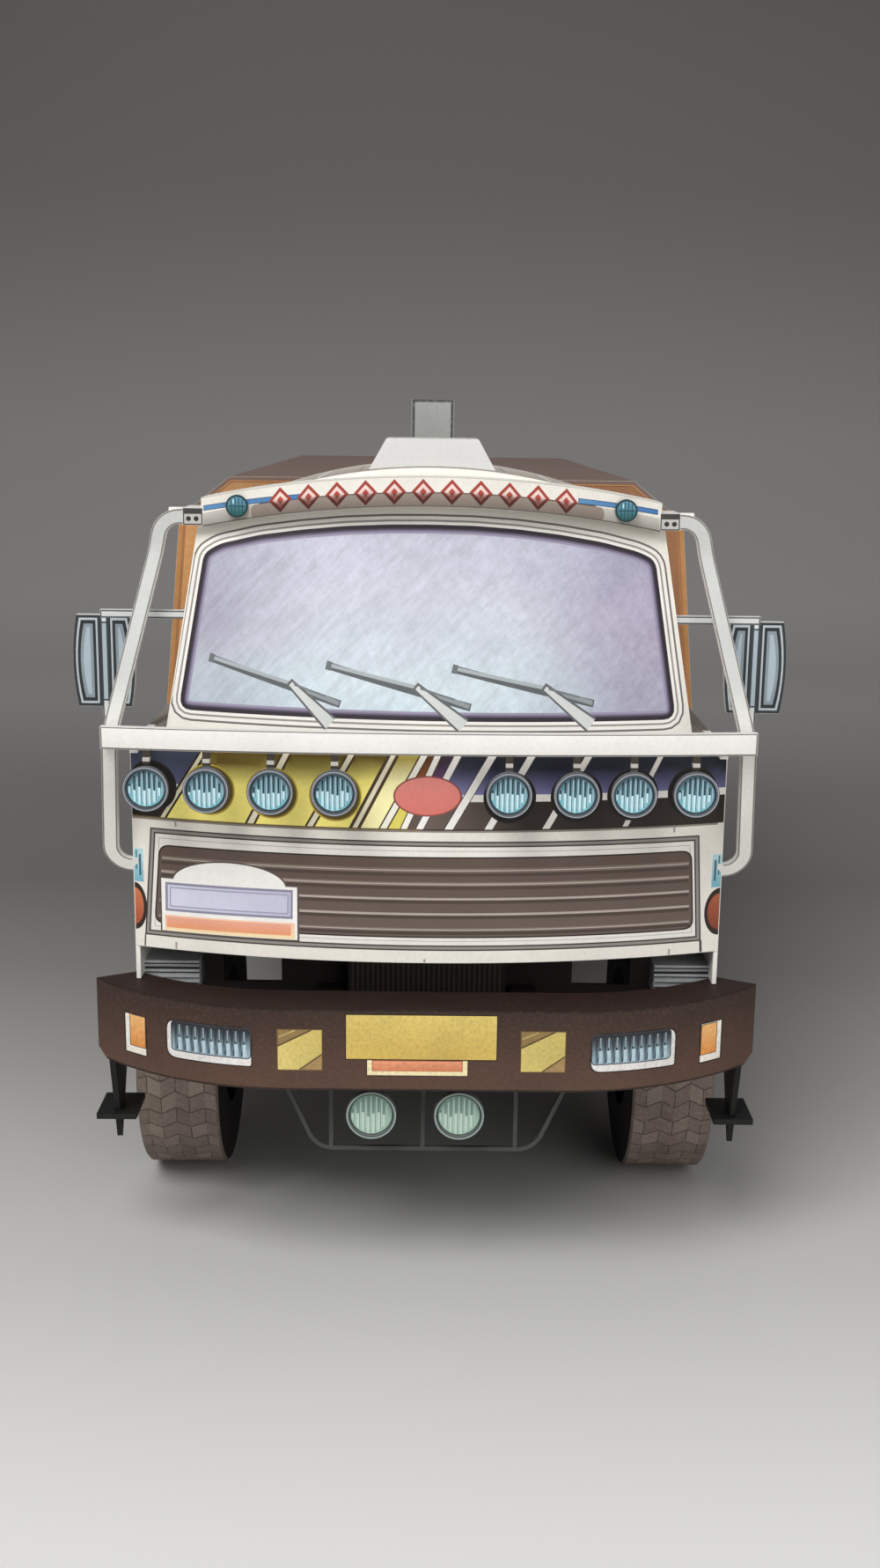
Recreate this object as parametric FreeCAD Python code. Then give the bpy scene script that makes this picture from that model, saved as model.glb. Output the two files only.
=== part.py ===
import FreeCAD, Part
import math
import os

# Printed-card model of a decorated cab-over truck with a covered load body.
# Millimetres, +Z up, floor at Z = 0, the front looks along -Y, X = 0 is the centreline.
# Depths called "behind" are measured rearwards from the bumper's front face.
# Each piece is a folded, rolled or flat card piece of its own, glued to its neighbours.

# Card and fits
CARD = 0.5
BOARD = 1.0
GLUE_LINE = 0.05
RUNNING_FIT = 0.05
END_FLOAT = 0.3
OVERRUN = 5.0

# Wheels and axle rods
TYRE_RADIUS = 18.0
TYRE_OUTER_FACE = 38.2
FRONT_TYRE_WIDTH = 10.7
REAR_TYRE_WIDTH = 8.6
TWIN_GAP = 2.0
TYRE_SHOULDER = 0.3
RIM_RADIUS = 10.5
RIM_WALL = 0.6
RIM_LIP = 0.6
FRONT_DISH = 2.4
REAR_DISH = 6.0
HUB_RADIUS = 3.6
HUB_HEIGHT = 1.6
ROD_RADIUS = 1.0
ROD_CAP_RADIUS = 2.0
ROD_CAP_WIDTH = 0.6
FRONT_TYRE_BEHIND = 23.0
WHEELBASE = 102.0
REAR_OVERHANG = 44.3
CAB_TYRE_ROOM = 5.0
BED_TYRE_ROOM = 3.5
AXLE_TUBE_RADIUS = 2.0
DIFFERENTIAL_RADIUS = 5.0
DIFFERENTIAL_LENGTH = 9.0

# Chassis
SPRING_LENGTH = 30.0
SPRING_LEAVES = 1.6
SPRING_WIDTH = 2.4
SPRING_EYE_DROP = 1.4
SPRING_HANGER = 2.4
RAIL_OUTER = 13.4
RAIL_FLANGE = 3.2
RAIL_WALL = 0.6
RAIL_HEIGHT = 8.0
RAIL_END_SHORT = 3.6
CROSS_DEPTH = 2.0
CROSS_PLACE_SHARES = (0.28, 0.42, 0.58, 0.86, 0.985)

# Bumper and what hangs from it
BUMPER_HALF = 40.2
BUMPER_STRAIGHT_HALF = 16.0
BUMPER_SWEEP = 10.2
BUMPER_DEPTH = 6.3
BUMPER_HEIGHT = 10.0
BUMPER_DROP = 0.3
BUMPER_END_CUT = 4.7
BUMPER_END_BACK = 2.5
BUMPER_CORNER = 1.2
STEP_FIN_INSET = 1.9
STEP_FIN_FRONT = 8.6
STEP_FIN_LENGTH = 9.4
STEP_FIN_DROP = 11.5
STEP_FIN_TIP_SHARE = 0.36
STEP_PLATE_WIDTH = 4.9
STEP_PLATE_LENGTH = 6.6
STEP_PLATE_DROP = 7.7
STEP_PLATE_SETBACK = 1.4
STEP_CARD = 0.7
FOG_LAMP_PLACE_SHARES = (-0.16, 0.0995)
FOG_LAMP_RADIUS = 3.0
FOG_LAMP_DEPTH = 3.0
FOG_LAMP_SETBACK = 1.8
FOG_LAMP_HANGER = 0.95
FOG_GUARD_HALF = 17.6
FOG_GUARD_SLOPE = 4.4
FOG_GUARD_DROP = 10.0
FOG_GUARD_STRIP = 0.5
FOG_GUARD_RADIUS = 3.2
FOG_GUARD_POST_SHARES = (-0.864, -0.023, 0.826)
FOG_GUARD_SETBACK = 5.3

# Cab
CAB_HALF = 35.2
CAB_FRONT_BEHIND = 4.2
CAB_BOW = 5.6
CAB_BACK_BEHIND_AXLE = 9.2
CAB_SKIRT_DROP = 4.2
CAB_LOWER_HEIGHT = 24.6
SHOULDER_HEIGHT = 2.2
BELT_TUCK = 4.35
BELT_SETBACK = 0.6
BELT_BOW = 5.0
SCREEN_HEIGHT = 23.7
SCREEN_RAKE = 8.1
EAVES_TUCK = 3.25
EAVES_BOW = 4.1
ROOF_RISE = 6.4
FLOOR_CARD = 0.6
CAB_STEP_WIDTH = 6.7
CAB_STEP_HEIGHT = 4.0
CAB_STEP_DROP = 2.6
CAB_STEP_SPAN_SHARES = (0.175, 0.713)
CAB_STEP_GROOVES = 4
CAB_STEP_GROOVE = 0.35
ARCH_WIDTH = 8.8
ARCH_END_HEIGHT = 12.0

# Visor, roof hatch and air intake
VISOR_INSET = 0.6
VISOR_AHEAD = 2.3
VISOR_BOW = 4.4
VISOR_DEPTH = 6.6
VISOR_CENTRE_BELOW_RIDGE = 0.8
VISOR_ARCH = 2.9
VISOR_HEIGHT = 3.45
VISOR_CARD = 0.6
VISOR_LAMP_INSET = 4.4
VISOR_LAMP_RADIUS = 1.3
VISOR_LAMP_DEPTH = 0.7
HATCH_HALF = 7.4
HATCH_TOP_HALF = 5.6
HATCH_HEIGHT = 3.2
HATCH_LENGTH = 15.0
HATCH_SETBACK = 9.1
HATCH_SLOPE = 1.0
INTAKE_HALF = 2.85
INTAKE_DEPTH = 3.6
INTAKE_RISE = 8.2
INTAKE_HEIGHT = 46.6

# Tube guard, cut from thick card, and its driving lamps
BAR_OVERHANG = 1.9
BAR_BOW = 2.0
BAR_HEIGHT = 2.55
BAR_ABOVE_FRONT = 1.15
BAR_ARM_INSET = 1.8
BAR_ARM_WIDTH = 0.9
LOOP_WIDTH = 1.75
LOOP_TOP_BEND = 2.6
LOOP_BEND = 4.2
LOOP_LOW_BEND = 2.4
LOOP_TOP_OUT = 1.6
LOOP_SHOULDER_OUT = 4.1
LOOP_BELT_OUT = 1.1
LOOP_LOW_OUT = 2.7
LOOP_FOOT_INSET = 0.6
LOOP_TOP_ABOVE_EAVES = 0.5
LOOP_TOP_AHEAD = 1.6
LOOP_FOOT_BELOW_BAR = 15.6
LOOP_FOOT_BACK = 1.1
BRACKET_WIDTH = 2.4
BRACKET_HEIGHT = 2.0
LAMP_PLACE_SHARES = (-0.86, -0.676, -0.48, -0.286, 0.243, 0.448, 0.623, 0.814)
LAMP_RADIUS = 2.6
LAMP_DEPTH = 3.2
LAMP_AHEAD = 0.9
LAMP_BELOW_BAR = 4.3
LAMP_RIM = 0.4
LAMP_RIM_DEPTH = 0.8
LAMP_HANGER = 0.8

# Mirrors
MIRROR_BEHIND_CORNER = 4.8
MIRROR_TUBE_OUT = 4.0
MIRROR_OUTER_WIDTH = 3.3
MIRROR_INNER_WIDTH = 4.0
MIRROR_TUBE = 0.9
MIRROR_BOTTOM_ABOVE_BELT = 1.6
MIRROR_HEIGHT = 11.0
MIRROR_TUBE_DROP = 1.2
MIRROR_BULGE = 0.5
MIRROR_ARM = 1.0
MIRROR_ARM_ABOVE_BELT = 13.2

# Load body
BODY_GAP = 5.0
RUNNER_HEIGHT = 4.5
BED_THICKNESS = 2.0
BODY_HALF = 38.6
DROP_SIDE_HEIGHT = 17.5
POST_WIDTH = 2.0
POST_RELIEF = 0.4
POST_PLACE_SHARES = (0.0, 0.333, 0.667, 1.0)
BEARER_WIDTH = 2.2
BEARER_HEIGHT = 3.0
FRONT_BEARER_PLACE_SHARES = (0.18, 0.52, 0.86)
REAR_BEARER_PLACE_SHARE = 0.3
TILT_LEAN = 2.9
TILT_EAVES_HEIGHT = 32.5
TILT_CHAMFER_WIDTH = 7.2
TILT_CHAMFER_HEIGHT = 5.7
MUDGUARD_SIDE_ROOM = 0.6
MUDGUARD_END_HEIGHT = 8.0
FLAP_HEIGHT = 9.0

# Tanks, engine, drive line and rear end
SIDE_BOX_SPAN_SHARES = (0.035, 0.625)
SIDE_BOX_TUCK = 4.6
SIDE_BOX_HEIGHT = 13.0
SIDE_BOX_DROP = 6.0
TANK_CORNER = 2.4
HANGER_LENGTH = 3.0
HANGER_WIDTH = 2.0
HANGER_PLACE_SHARES = (0.18, 0.76)
ENGINE_ROOM = 2.6
ENGINE_HEIGHT = 13.0
ENGINE_DROP = 4.0
ENGINE_LENGTH = 28.0
GEARBOX_RADIUS = 4.0
GEARBOX_LENGTH = 16.0
GEARBOX_BELOW_RAIL = 2.0
SHAFT_RADIUS = 1.2
RADIATOR_SIDE_GAP = 0.6
RADIATOR_ROOM = 4.7
RADIATOR_DEPTH = 3.0
PANEL_CLEARANCE = 0.4
PANEL_HOLE_MARGIN = 2.4
PANEL_HOLE_WIDTH = 7.2
PANEL_HOLE_HEIGHT = 5.4
UNDERRUN_SHORT = 3.6
UNDERRUN_HEIGHT = 3.4
UNDERRUN_DROP = 9.6
UNDERRUN_DEPTH = 1.8
UNDERRUN_INSET = 3.0
LAMP_BOARD_TUCK = 2.2
LAMP_BOARD_WIDTH = 13.4
LAMP_BOARD_HEIGHT = 6.0
COUPLING_HALF = 2.6
COUPLING_LENGTH = 3.6
COUPLING_HEIGHT = 3.0
COUPLING_BORE = 0.8

# Worked-out levels
AXLE_Z = TYRE_RADIUS
BED_BOTTOM = AXLE_Z + TYRE_RADIUS + BED_TYRE_ROOM
RAIL_TOP = BED_BOTTOM - RUNNER_HEIGHT
RAIL_BOTTOM = RAIL_TOP - RAIL_HEIGHT
SPRING_ARCH = RAIL_BOTTOM - AXLE_Z - AXLE_TUBE_RADIUS - SPRING_EYE_DROP - SPRING_LEAVES
BUMPER_BOTTOM = RAIL_BOTTOM - BUMPER_DROP
CAB_BOTTOM = AXLE_Z + TYRE_RADIUS + CAB_TYRE_ROOM
SKIRT_BOTTOM = CAB_BOTTOM - CAB_SKIRT_DROP
SHOULDER_Z = CAB_BOTTOM + CAB_LOWER_HEIGHT
BELT_Z = SHOULDER_Z + SHOULDER_HEIGHT
EAVES_Z = BELT_Z + SCREEN_HEIGHT
RIDGE_Z = EAVES_Z + ROOF_RISE
BED_TOP = BED_BOTTOM + BED_THICKNESS
TILT_BOTTOM = BED_BOTTOM + DROP_SIDE_HEIGHT
TILT_EAVES_Z = TILT_BOTTOM + TILT_EAVES_HEIGHT
TILT_TOP = TILT_EAVES_Z + TILT_CHAMFER_HEIGHT
BAR_BOTTOM = SHOULDER_Z + BAR_ABOVE_FRONT
BAR_TOP = BAR_BOTTOM + BAR_HEIGHT
LAMP_Z = BAR_BOTTOM - LAMP_BELOW_BAR

# Worked-out depths
LENGTH = LAMP_AHEAD + FRONT_TYRE_BEHIND + TYRE_RADIUS + WHEELBASE + REAR_OVERHANG
BUMPER_Y = -LENGTH / 2 + LAMP_AHEAD
TAIL_Y = LENGTH / 2
FRONT_AXLE_Y = BUMPER_Y + FRONT_TYRE_BEHIND + TYRE_RADIUS
REAR_AXLE_Y = FRONT_AXLE_Y + WHEELBASE
CAB_FRONT_Y = BUMPER_Y + CAB_FRONT_BEHIND
CAB_CORNER_Y = CAB_FRONT_Y + CAB_BOW
CAB_BACK_Y = FRONT_AXLE_Y + CAB_BACK_BEHIND_AXLE
CAB_DEPTH = CAB_BACK_Y - CAB_FRONT_Y
BODY_FRONT_Y = CAB_BACK_Y + BODY_GAP
RAIL_FRONT_Y = BUMPER_Y + BUMPER_DEPTH
RAIL_REAR_Y = TAIL_Y - RAIL_END_SHORT
PANEL_Y = RAIL_FRONT_Y + RADIATOR_ROOM + RADIATOR_DEPTH
BAR_Y = BUMPER_Y
EAVES_FRONT_Y = CAB_FRONT_Y + BELT_SETBACK + SCREEN_RAKE
VISOR_Y = EAVES_FRONT_Y - VISOR_AHEAD

# Worked-out widths
RAIL_INNER = RAIL_OUTER - RAIL_FLANGE
RAIL_WEB = RAIL_OUTER - RAIL_WALL
BELT_HALF = CAB_HALF - BELT_TUCK
EAVES_HALF = BELT_HALF - EAVES_TUCK
VISOR_HALF = EAVES_HALF - VISOR_INSET
VISOR_LAMP_X = VISOR_HALF - VISOR_LAMP_INSET
BAR_HALF = CAB_HALF + BAR_OVERHANG
BAR_ARM_X = CAB_HALF - BAR_ARM_INSET
LOOP_TOP_X = EAVES_HALF + LOOP_TOP_OUT
LOOP_LOW_X = CAB_HALF + LOOP_LOW_OUT
MIRROR_TUBE_X = CAB_HALF + MIRROR_TUBE_OUT
CAB_STEP_INNER = CAB_HALF - CARD - CAB_STEP_WIDTH
PANEL_HALF = CAB_STEP_INNER - PANEL_CLEARANCE
STEP_FIN_X = BUMPER_HALF - STEP_FIN_INSET
TILT_EAVES_HALF = BODY_HALF - TILT_LEAN
TILT_TOP_HALF = TILT_EAVES_HALF - TILT_CHAMFER_WIDTH
SIDE_BOX_INNER = RAIL_OUTER + HANGER_LENGTH
SIDE_BOX_OUTER = BODY_HALF - SIDE_BOX_TUCK
FRONT_TYRE_INNER_FACE = TYRE_OUTER_FACE - FRONT_TYRE_WIDTH
REAR_OUTER_TYRE_INNER = TYRE_OUTER_FACE - REAR_TYRE_WIDTH
REAR_INNER_TYRE_OUTER = REAR_OUTER_TYRE_INNER - TWIN_GAP
REAR_INNER_TYRE_INNER = REAR_INNER_TYRE_OUTER - REAR_TYRE_WIDTH
MUDGUARD_INNER = REAR_INNER_TYRE_INNER - MUDGUARD_SIDE_ROOM

# Round covers over the tyres and the room between them
ARCH_RADIUS = CAB_BOTTOM - AXLE_Z
MUDGUARD_RADIUS = BED_BOTTOM - AXLE_Z
ARCH_REAR_Y = FRONT_AXLE_Y + ARCH_RADIUS
MUDGUARD_FRONT_Y = REAR_AXLE_Y - MUDGUARD_RADIUS
MUDGUARD_REAR_Y = REAR_AXLE_Y + MUDGUARD_RADIUS
SIDE_BOX_Y0 = ARCH_REAR_Y + (MUDGUARD_FRONT_Y - ARCH_REAR_Y) * SIDE_BOX_SPAN_SHARES[0]
SIDE_BOX_Y1 = ARCH_REAR_Y + (MUDGUARD_FRONT_Y - ARCH_REAR_Y) * SIDE_BOX_SPAN_SHARES[1]
SIDE_BOX_BOTTOM = RAIL_BOTTOM - SIDE_BOX_DROP

AXIS_X = FreeCAD.Vector(1, 0, 0)
AXIS_Y = FreeCAD.Vector(0, 1, 0)
AXIS_Z = FreeCAD.Vector(0, 0, 1)
ORIGIN = FreeCAD.Vector(0, 0, 0)


def box(x0, x1, y0, y1, z0, z1):
    """Block between two corners."""
    return Part.makeBox(x1 - x0, y1 - y0, z1 - z0, FreeCAD.Vector(x0, y0, z0))


def prism_along_y(outline, y0, y1):
    """Polygon of (x, z) points carried along Y."""
    points = [FreeCAD.Vector(x, y0, z) for x, z in outline]
    face = Part.Face(Part.makePolygon(points + points[:1]))
    return face.extrude(AXIS_Y * (y1 - y0))


def prism_along_x(outline, x0, x1):
    """Polygon of (y, z) points carried along X."""
    points = [FreeCAD.Vector(x0, y, z) for y, z in outline]
    face = Part.Face(Part.makePolygon(points + points[:1]))
    return face.extrude(AXIS_X * (x1 - x0))


def tube_along_x(y, z, radius, bore, x0, x1):
    """Round bar along X, hollow where the bore is not zero."""
    start = FreeCAD.Vector(x0, y, z)
    bar = Part.makeCylinder(radius, x1 - x0, start, AXIS_X)
    if bore:
        bar = bar.cut(Part.makeCylinder(bore, x1 - x0, start, AXIS_X))
    return bar


def mirrored(shape):
    """The same piece on the other side of the centreline."""
    return shape.mirror(ORIGIN, AXIS_X)


def bowed_face(half, centre_y, end_y, back_y, z):
    """Plan outline at height z: bowed front edge, straight sides and a straight back."""
    left = FreeCAD.Vector(-half, end_y, z)
    right = FreeCAD.Vector(half, end_y, z)
    front = Part.Arc(left, FreeCAD.Vector(0, centre_y, z), right).toShape()
    back_right = FreeCAD.Vector(half, back_y, z)
    back_left = FreeCAD.Vector(-half, back_y, z)
    sides = [Part.makeLine(right, back_right), Part.makeLine(back_right, back_left)]
    return Part.Wire([front] + sides + [Part.makeLine(back_left, left)])


def arc_height(x, half, rise):
    """How far an arc of this half width and rise has fallen from its middle at x."""
    radius = (half * half + rise * rise) / (2 * rise)
    return radius - math.sqrt(radius * radius - x * x)


def rounded_line(points, radii):
    """Edges of an open line in one plane whose inner corners are rounded."""
    edges = []
    start = points[0]
    for corner, following, radius in zip(points[1:-1], points[2:], radii):
        toward = (corner - start).normalize()
        away = (following - corner).normalize()
        turn = toward.getAngle(away)
        reach = radius * math.tan(turn / 2)
        first = corner - toward * reach
        last = corner + away * reach
        inward = (away - toward).normalize()
        middle = corner + inward * (radius / math.cos(turn / 2) - radius)
        edges.append(Part.makeLine(start, first))
        edges.append(Part.Arc(first, middle, last).toShape())
        start = last
    edges.append(Part.makeLine(start, points[-1]))
    return edges


def strip_face(points, radii, width, normal):
    """Flat strip of card of even width along a line with rounded corners."""
    sides = []
    for hand in (-1, 1):
        line = []
        for index, point in enumerate(points):
            before = (point - points[index - 1]).normalize() if index else None
            after = (points[index + 1] - point).normalize() if index + 1 < len(points) else None
            across = [normal.cross(way) for way in (before, after) if way is not None]
            if len(across) == 1:
                line.append(point + across[0] * (hand * width / 2))
            else:
                middle = (across[0] + across[1]).normalize()
                line.append(point + middle * (hand * width / 2 / middle.dot(across[0])))
        sizes = []
        for index, radius in enumerate(radii):
            before = points[index + 1] - points[index]
            after = points[index + 2] - points[index + 1]
            turn = 1 if normal.dot(before.cross(after)) > 0 else -1
            sizes.append(radius - turn * hand * width / 2)
        sides.append((line, rounded_line(line, sizes)))
    (left, left_edges), (right, right_edges) = sides
    caps = [Part.makeLine(left[0], right[0]), Part.makeLine(left[-1], right[-1])]
    return Part.Face(Part.Wire(Part.__sortEdges__(left_edges + right_edges + caps)))


def turned_on_x(profile, y, z):
    """Closed profile of (x, radius) points turned about the line along X at (y, z)."""
    points = [FreeCAD.Vector(x, y, z + radius) for x, radius in profile]
    face = Part.Face(Part.makePolygon(points + points[:1]))
    return face.revolve(FreeCAD.Vector(0, y, z), AXIS_X, 360)


# Cab volumes: outer skin and the hollow inside it

def cab_volume(inset):
    """Cab from the skirt to the roof, shrunk by inset on every wall."""
    back = CAB_BACK_Y - inset
    front = CAB_FRONT_Y + inset
    corner = CAB_CORNER_Y + inset
    half = CAB_HALF - inset
    low = bowed_face(half, front, corner, back, SKIRT_BOTTOM)
    shoulder = bowed_face(half, front, corner, back, SHOULDER_Z)
    belt_front = front + BELT_SETBACK
    belt = bowed_face(BELT_HALF - inset, belt_front, belt_front + BELT_BOW, back, BELT_Z)
    reach = (RIDGE_Z + ROOF_RISE - BELT_Z) / SCREEN_HEIGHT
    top_half = BELT_HALF - inset + (EAVES_HALF - BELT_HALF) * reach
    top_front = belt_front + SCREEN_RAKE * reach
    top_bow = BELT_BOW + (EAVES_BOW - BELT_BOW) * reach
    top = bowed_face(top_half, top_front, top_front + top_bow, back, RIDGE_Z + ROOF_RISE)
    volume = Part.makeLoft([low, shoulder], True, True)
    volume = volume.fuse(Part.makeLoft([shoulder, belt], True, True))
    volume = volume.fuse(Part.makeLoft([belt, top], True, True))
    return volume.common(below_roof(inset))


def below_roof(inset):
    """Everything under the arched roof surface, lowered by inset."""
    radius = (EAVES_HALF * EAVES_HALF + ROOF_RISE * ROOF_RISE) / (2 * ROOF_RISE)
    centre = RIDGE_Z - radius
    reach = CAB_HALF + OVERRUN
    y0 = CAB_FRONT_Y - OVERRUN
    y1 = CAB_BACK_Y + OVERRUN
    drum = Part.makeCylinder(radius - inset, y1 - y0, FreeCAD.Vector(0, y0, centre), AXIS_Y)
    upper = drum.common(box(-reach, reach, y0, y1, SHOULDER_Z, RIDGE_Z + OVERRUN))
    lower = box(-reach, reach, y0, y1, SKIRT_BOTTOM - OVERRUN, SHOULDER_Z)
    return upper.fuse(lower)


def corner_region():
    """The space ahead of the cab's front corners, from the skirt to the roof."""
    reach = (RIDGE_Z + ROOF_RISE - BELT_Z) / SCREEN_HEIGHT
    belt_corner = CAB_FRONT_Y + BELT_SETBACK + BELT_BOW
    top_corner = belt_corner + SCREEN_RAKE * reach + (EAVES_BOW - BELT_BOW) * reach
    ahead = CAB_FRONT_Y - OVERRUN
    low = SKIRT_BOTTOM - OVERRUN
    high = RIDGE_Z + ROOF_RISE
    outline = [(ahead, low), (CAB_CORNER_Y, low), (CAB_CORNER_Y, SHOULDER_Z), (belt_corner, BELT_Z),
               (top_corner, high), (ahead, high)]
    return prism_along_x(outline, -CAB_HALF - OVERRUN, CAB_HALF + OVERRUN)


CAB_OUTER = cab_volume(0)
CAB_INNER = cab_volume(CARD)
CAB_SHELL = CAB_OUTER.cut(CAB_INNER)
CAB_AHEAD = corner_region()
CAB_WALLS = CAB_SHELL.common(below_roof(CARD))


def slab(z0, z1):
    """Level slice right across the cab."""
    reach = CAB_HALF + OVERRUN
    return box(-reach, reach, CAB_FRONT_Y - OVERRUN, CAB_BACK_Y + OVERRUN, z0, z1)


def cab_front():
    """Bowed lower front with the folded shoulder above it."""
    return CAB_WALLS.common(CAB_AHEAD).common(slab(CAB_BOTTOM, BELT_Z))


def windscreen_panel():
    """Raked upper front that carries the printed screen."""
    return CAB_WALLS.common(CAB_AHEAD).common(slab(BELT_Z, RIDGE_Z + OVERRUN))


def cab_roof():
    """Arched roof sheet."""
    return CAB_SHELL.cut(below_roof(CARD))


def cab_back():
    """Rear wall of the cab."""
    reach = CAB_HALF + OVERRUN
    rear = box(-reach, reach, CAB_BACK_Y - CARD, CAB_BACK_Y + OVERRUN, CAB_BOTTOM, RIDGE_Z + OVERRUN)
    return CAB_WALLS.common(rear)


def cab_side():
    """Right side wall with its skirt, cut round the wheel."""
    region = box(0, CAB_HALF + OVERRUN, CAB_FRONT_Y, CAB_BACK_Y - CARD, SKIRT_BOTTOM, RIDGE_Z + OVERRUN)
    wall = CAB_WALLS.common(region).cut(CAB_AHEAD)
    wall = wall.cut(box(0, CAB_HALF - CARD, CAB_FRONT_Y, CAB_BACK_Y, SKIRT_BOTTOM - OVERRUN, CAB_BOTTOM))
    return wall.cut(tube_along_x(FRONT_AXLE_Y, AXLE_Z, ARCH_RADIUS, 0, 0, CAB_HALF + OVERRUN))


def cab_floor():
    """Floor sheet between the cab's walls."""
    return CAB_INNER.common(slab(CAB_BOTTOM, CAB_BOTTOM + FLOOR_CARD))


def wheel_arch():
    """Right rolled card liner over the front wheel."""
    outer = ARCH_RADIUS - GLUE_LINE
    ring = tube_along_x(FRONT_AXLE_Y, AXLE_Z, outer, outer - CARD, CAB_HALF - ARCH_WIDTH, CAB_HALF)
    reach = ARCH_RADIUS + OVERRUN
    bottom = AXLE_Z + ARCH_END_HEIGHT
    return ring.common(box(0, CAB_HALF, FRONT_AXLE_Y - reach, FRONT_AXLE_Y + reach, bottom, CAB_BOTTOM))


def cab_step():
    """Right entry step, a ridged card block on the skirt's inner face."""
    outer = CAB_HALF - CARD
    bottom = SKIRT_BOTTOM - CAB_STEP_DROP
    top = bottom + CAB_STEP_HEIGHT
    above_axle = bottom - AXLE_Z
    arch_front = FRONT_AXLE_Y - math.sqrt(ARCH_RADIUS * ARCH_RADIUS - above_axle * above_axle)
    front, back = [CAB_CORNER_Y + (arch_front - CAB_CORNER_Y) * share for share in CAB_STEP_SPAN_SHARES]
    step = box(CAB_STEP_INNER, outer, front, back, bottom, top)
    pitch = CAB_STEP_HEIGHT / (CAB_STEP_GROOVES + 1)
    for count in range(CAB_STEP_GROOVES):
        middle = bottom + pitch * (count + 1)
        low, high = middle - CAB_STEP_GROOVE / 2, middle + CAB_STEP_GROOVE / 2
        deep = front + CAB_STEP_GROOVE
        groove = box(CAB_STEP_INNER - OVERRUN, outer + OVERRUN, front - OVERRUN, deep, low, high)
        step = step.cut(groove)
    return step


# Visor, hatch, intake

def visor_wedge(ahead, lift):
    """Space behind the visor's bowed front, under its arched top and above its arched foot."""
    front = VISOR_Y + ahead
    back = VISOR_Y + VISOR_DEPTH
    far = back + VISOR_BOW + OVERRUN
    plan = Part.Face(bowed_face(VISOR_HALF, front, front + VISOR_BOW, far, SHOULDER_Z))
    plan = plan.cut(Part.Face(bowed_face(VISOR_HALF, back, back + VISOR_BOW, far, SHOULDER_Z)))
    column = plan.extrude(AXIS_Z * (RIDGE_Z + OVERRUN - SHOULDER_Z))
    top = RIDGE_Z - VISOR_CENTRE_BELOW_RIDGE - lift
    foot = RIDGE_Z - VISOR_CENTRE_BELOW_RIDGE - VISOR_HEIGHT
    radius = (VISOR_HALF * VISOR_HALF + VISOR_ARCH * VISOR_ARCH) / (2 * VISOR_ARCH)
    y0 = BUMPER_Y
    upper = Part.makeCylinder(radius, CAB_DEPTH, FreeCAD.Vector(0, y0, top - radius), AXIS_Y)
    lower = Part.makeCylinder(radius, CAB_DEPTH, FreeCAD.Vector(0, y0, foot - radius), AXIS_Y)
    if lift:
        return column.common(upper)
    return column.common(upper).cut(lower)


def visor():
    """Sun visor: an upright bowed strip folded back to the roof's front edge."""
    hollow = visor_wedge(VISOR_CARD, VISOR_CARD)
    return visor_wedge(0, 0).cut(hollow).cut(CAB_OUTER)


def visor_lamp():
    """Right round lamp on the visor's face."""
    fall = arc_height(VISOR_LAMP_X, VISOR_HALF, VISOR_BOW)
    drop = arc_height(VISOR_LAMP_X, VISOR_HALF, VISOR_ARCH)
    face_y = VISOR_Y + fall
    z = RIDGE_Z - VISOR_CENTRE_BELOW_RIDGE - VISOR_HEIGHT / 2 - drop
    start = FreeCAD.Vector(VISOR_LAMP_X, face_y - VISOR_LAMP_DEPTH, z)
    disc = Part.makeCylinder(VISOR_LAMP_RADIUS, 2 * VISOR_LAMP_DEPTH, start, AXIS_Y)
    return disc.cut(visor_wedge(0, 0)).common(box(0, CAB_HALF, BUMPER_Y, face_y, EAVES_Z - OVERRUN, RIDGE_Z))


def roof_hatch():
    """Boxed hatch with four sloping sides on the roof."""
    front = EAVES_FRONT_Y + HATCH_SETBACK
    back = front + HATCH_LENGTH
    foot = RIDGE_Z - ROOF_RISE / 2
    top = RIDGE_Z + HATCH_HEIGHT
    grow = (HATCH_HALF - HATCH_TOP_HALF) / HATCH_HEIGHT * (RIDGE_Z - foot)
    tilt = HATCH_SLOPE / HATCH_HEIGHT * (RIDGE_Z - foot)

    def level(half, y0, y1, z):
        corners = [(-half, y0), (half, y0), (half, y1), (-half, y1), (-half, y0)]
        return Part.makePolygon([FreeCAD.Vector(x, y, z) for x, y in corners])

    low = level(HATCH_HALF + grow, front - tilt, back + tilt, foot)
    high = level(HATCH_TOP_HALF, front + HATCH_SLOPE, back - HATCH_SLOPE, top)
    return Part.makeLoft([low, high], True, True).cut(CAB_OUTER)


def intake_stack():
    """Upright air intake box on the back of the cab."""
    top = RIDGE_Z + INTAKE_RISE
    return box(-INTAKE_HALF, INTAKE_HALF, CAB_BACK_Y, CAB_BACK_Y + INTAKE_DEPTH, top - INTAKE_HEIGHT, top)


# Guard and lamps

def bar_front(x):
    """Y of the cross bar's front face at x."""
    return BAR_Y + arc_height(x, BAR_HALF, BAR_BOW)


def bar_strip():
    """Bowed strip of the cross bar, an even board's thickness from front to back."""
    behind = BAR_Y + BAR_BOW + OVERRUN
    front = Part.Face(bowed_face(BAR_HALF, BAR_Y, BAR_Y + BAR_BOW, behind, BAR_BOTTOM))
    back_y = BAR_Y + BOARD
    back = Part.Face(bowed_face(BAR_HALF, back_y, back_y + BAR_BOW, behind, BAR_BOTTOM))
    return front.cut(back).extrude(AXIS_Z * BAR_HEIGHT)


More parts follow.
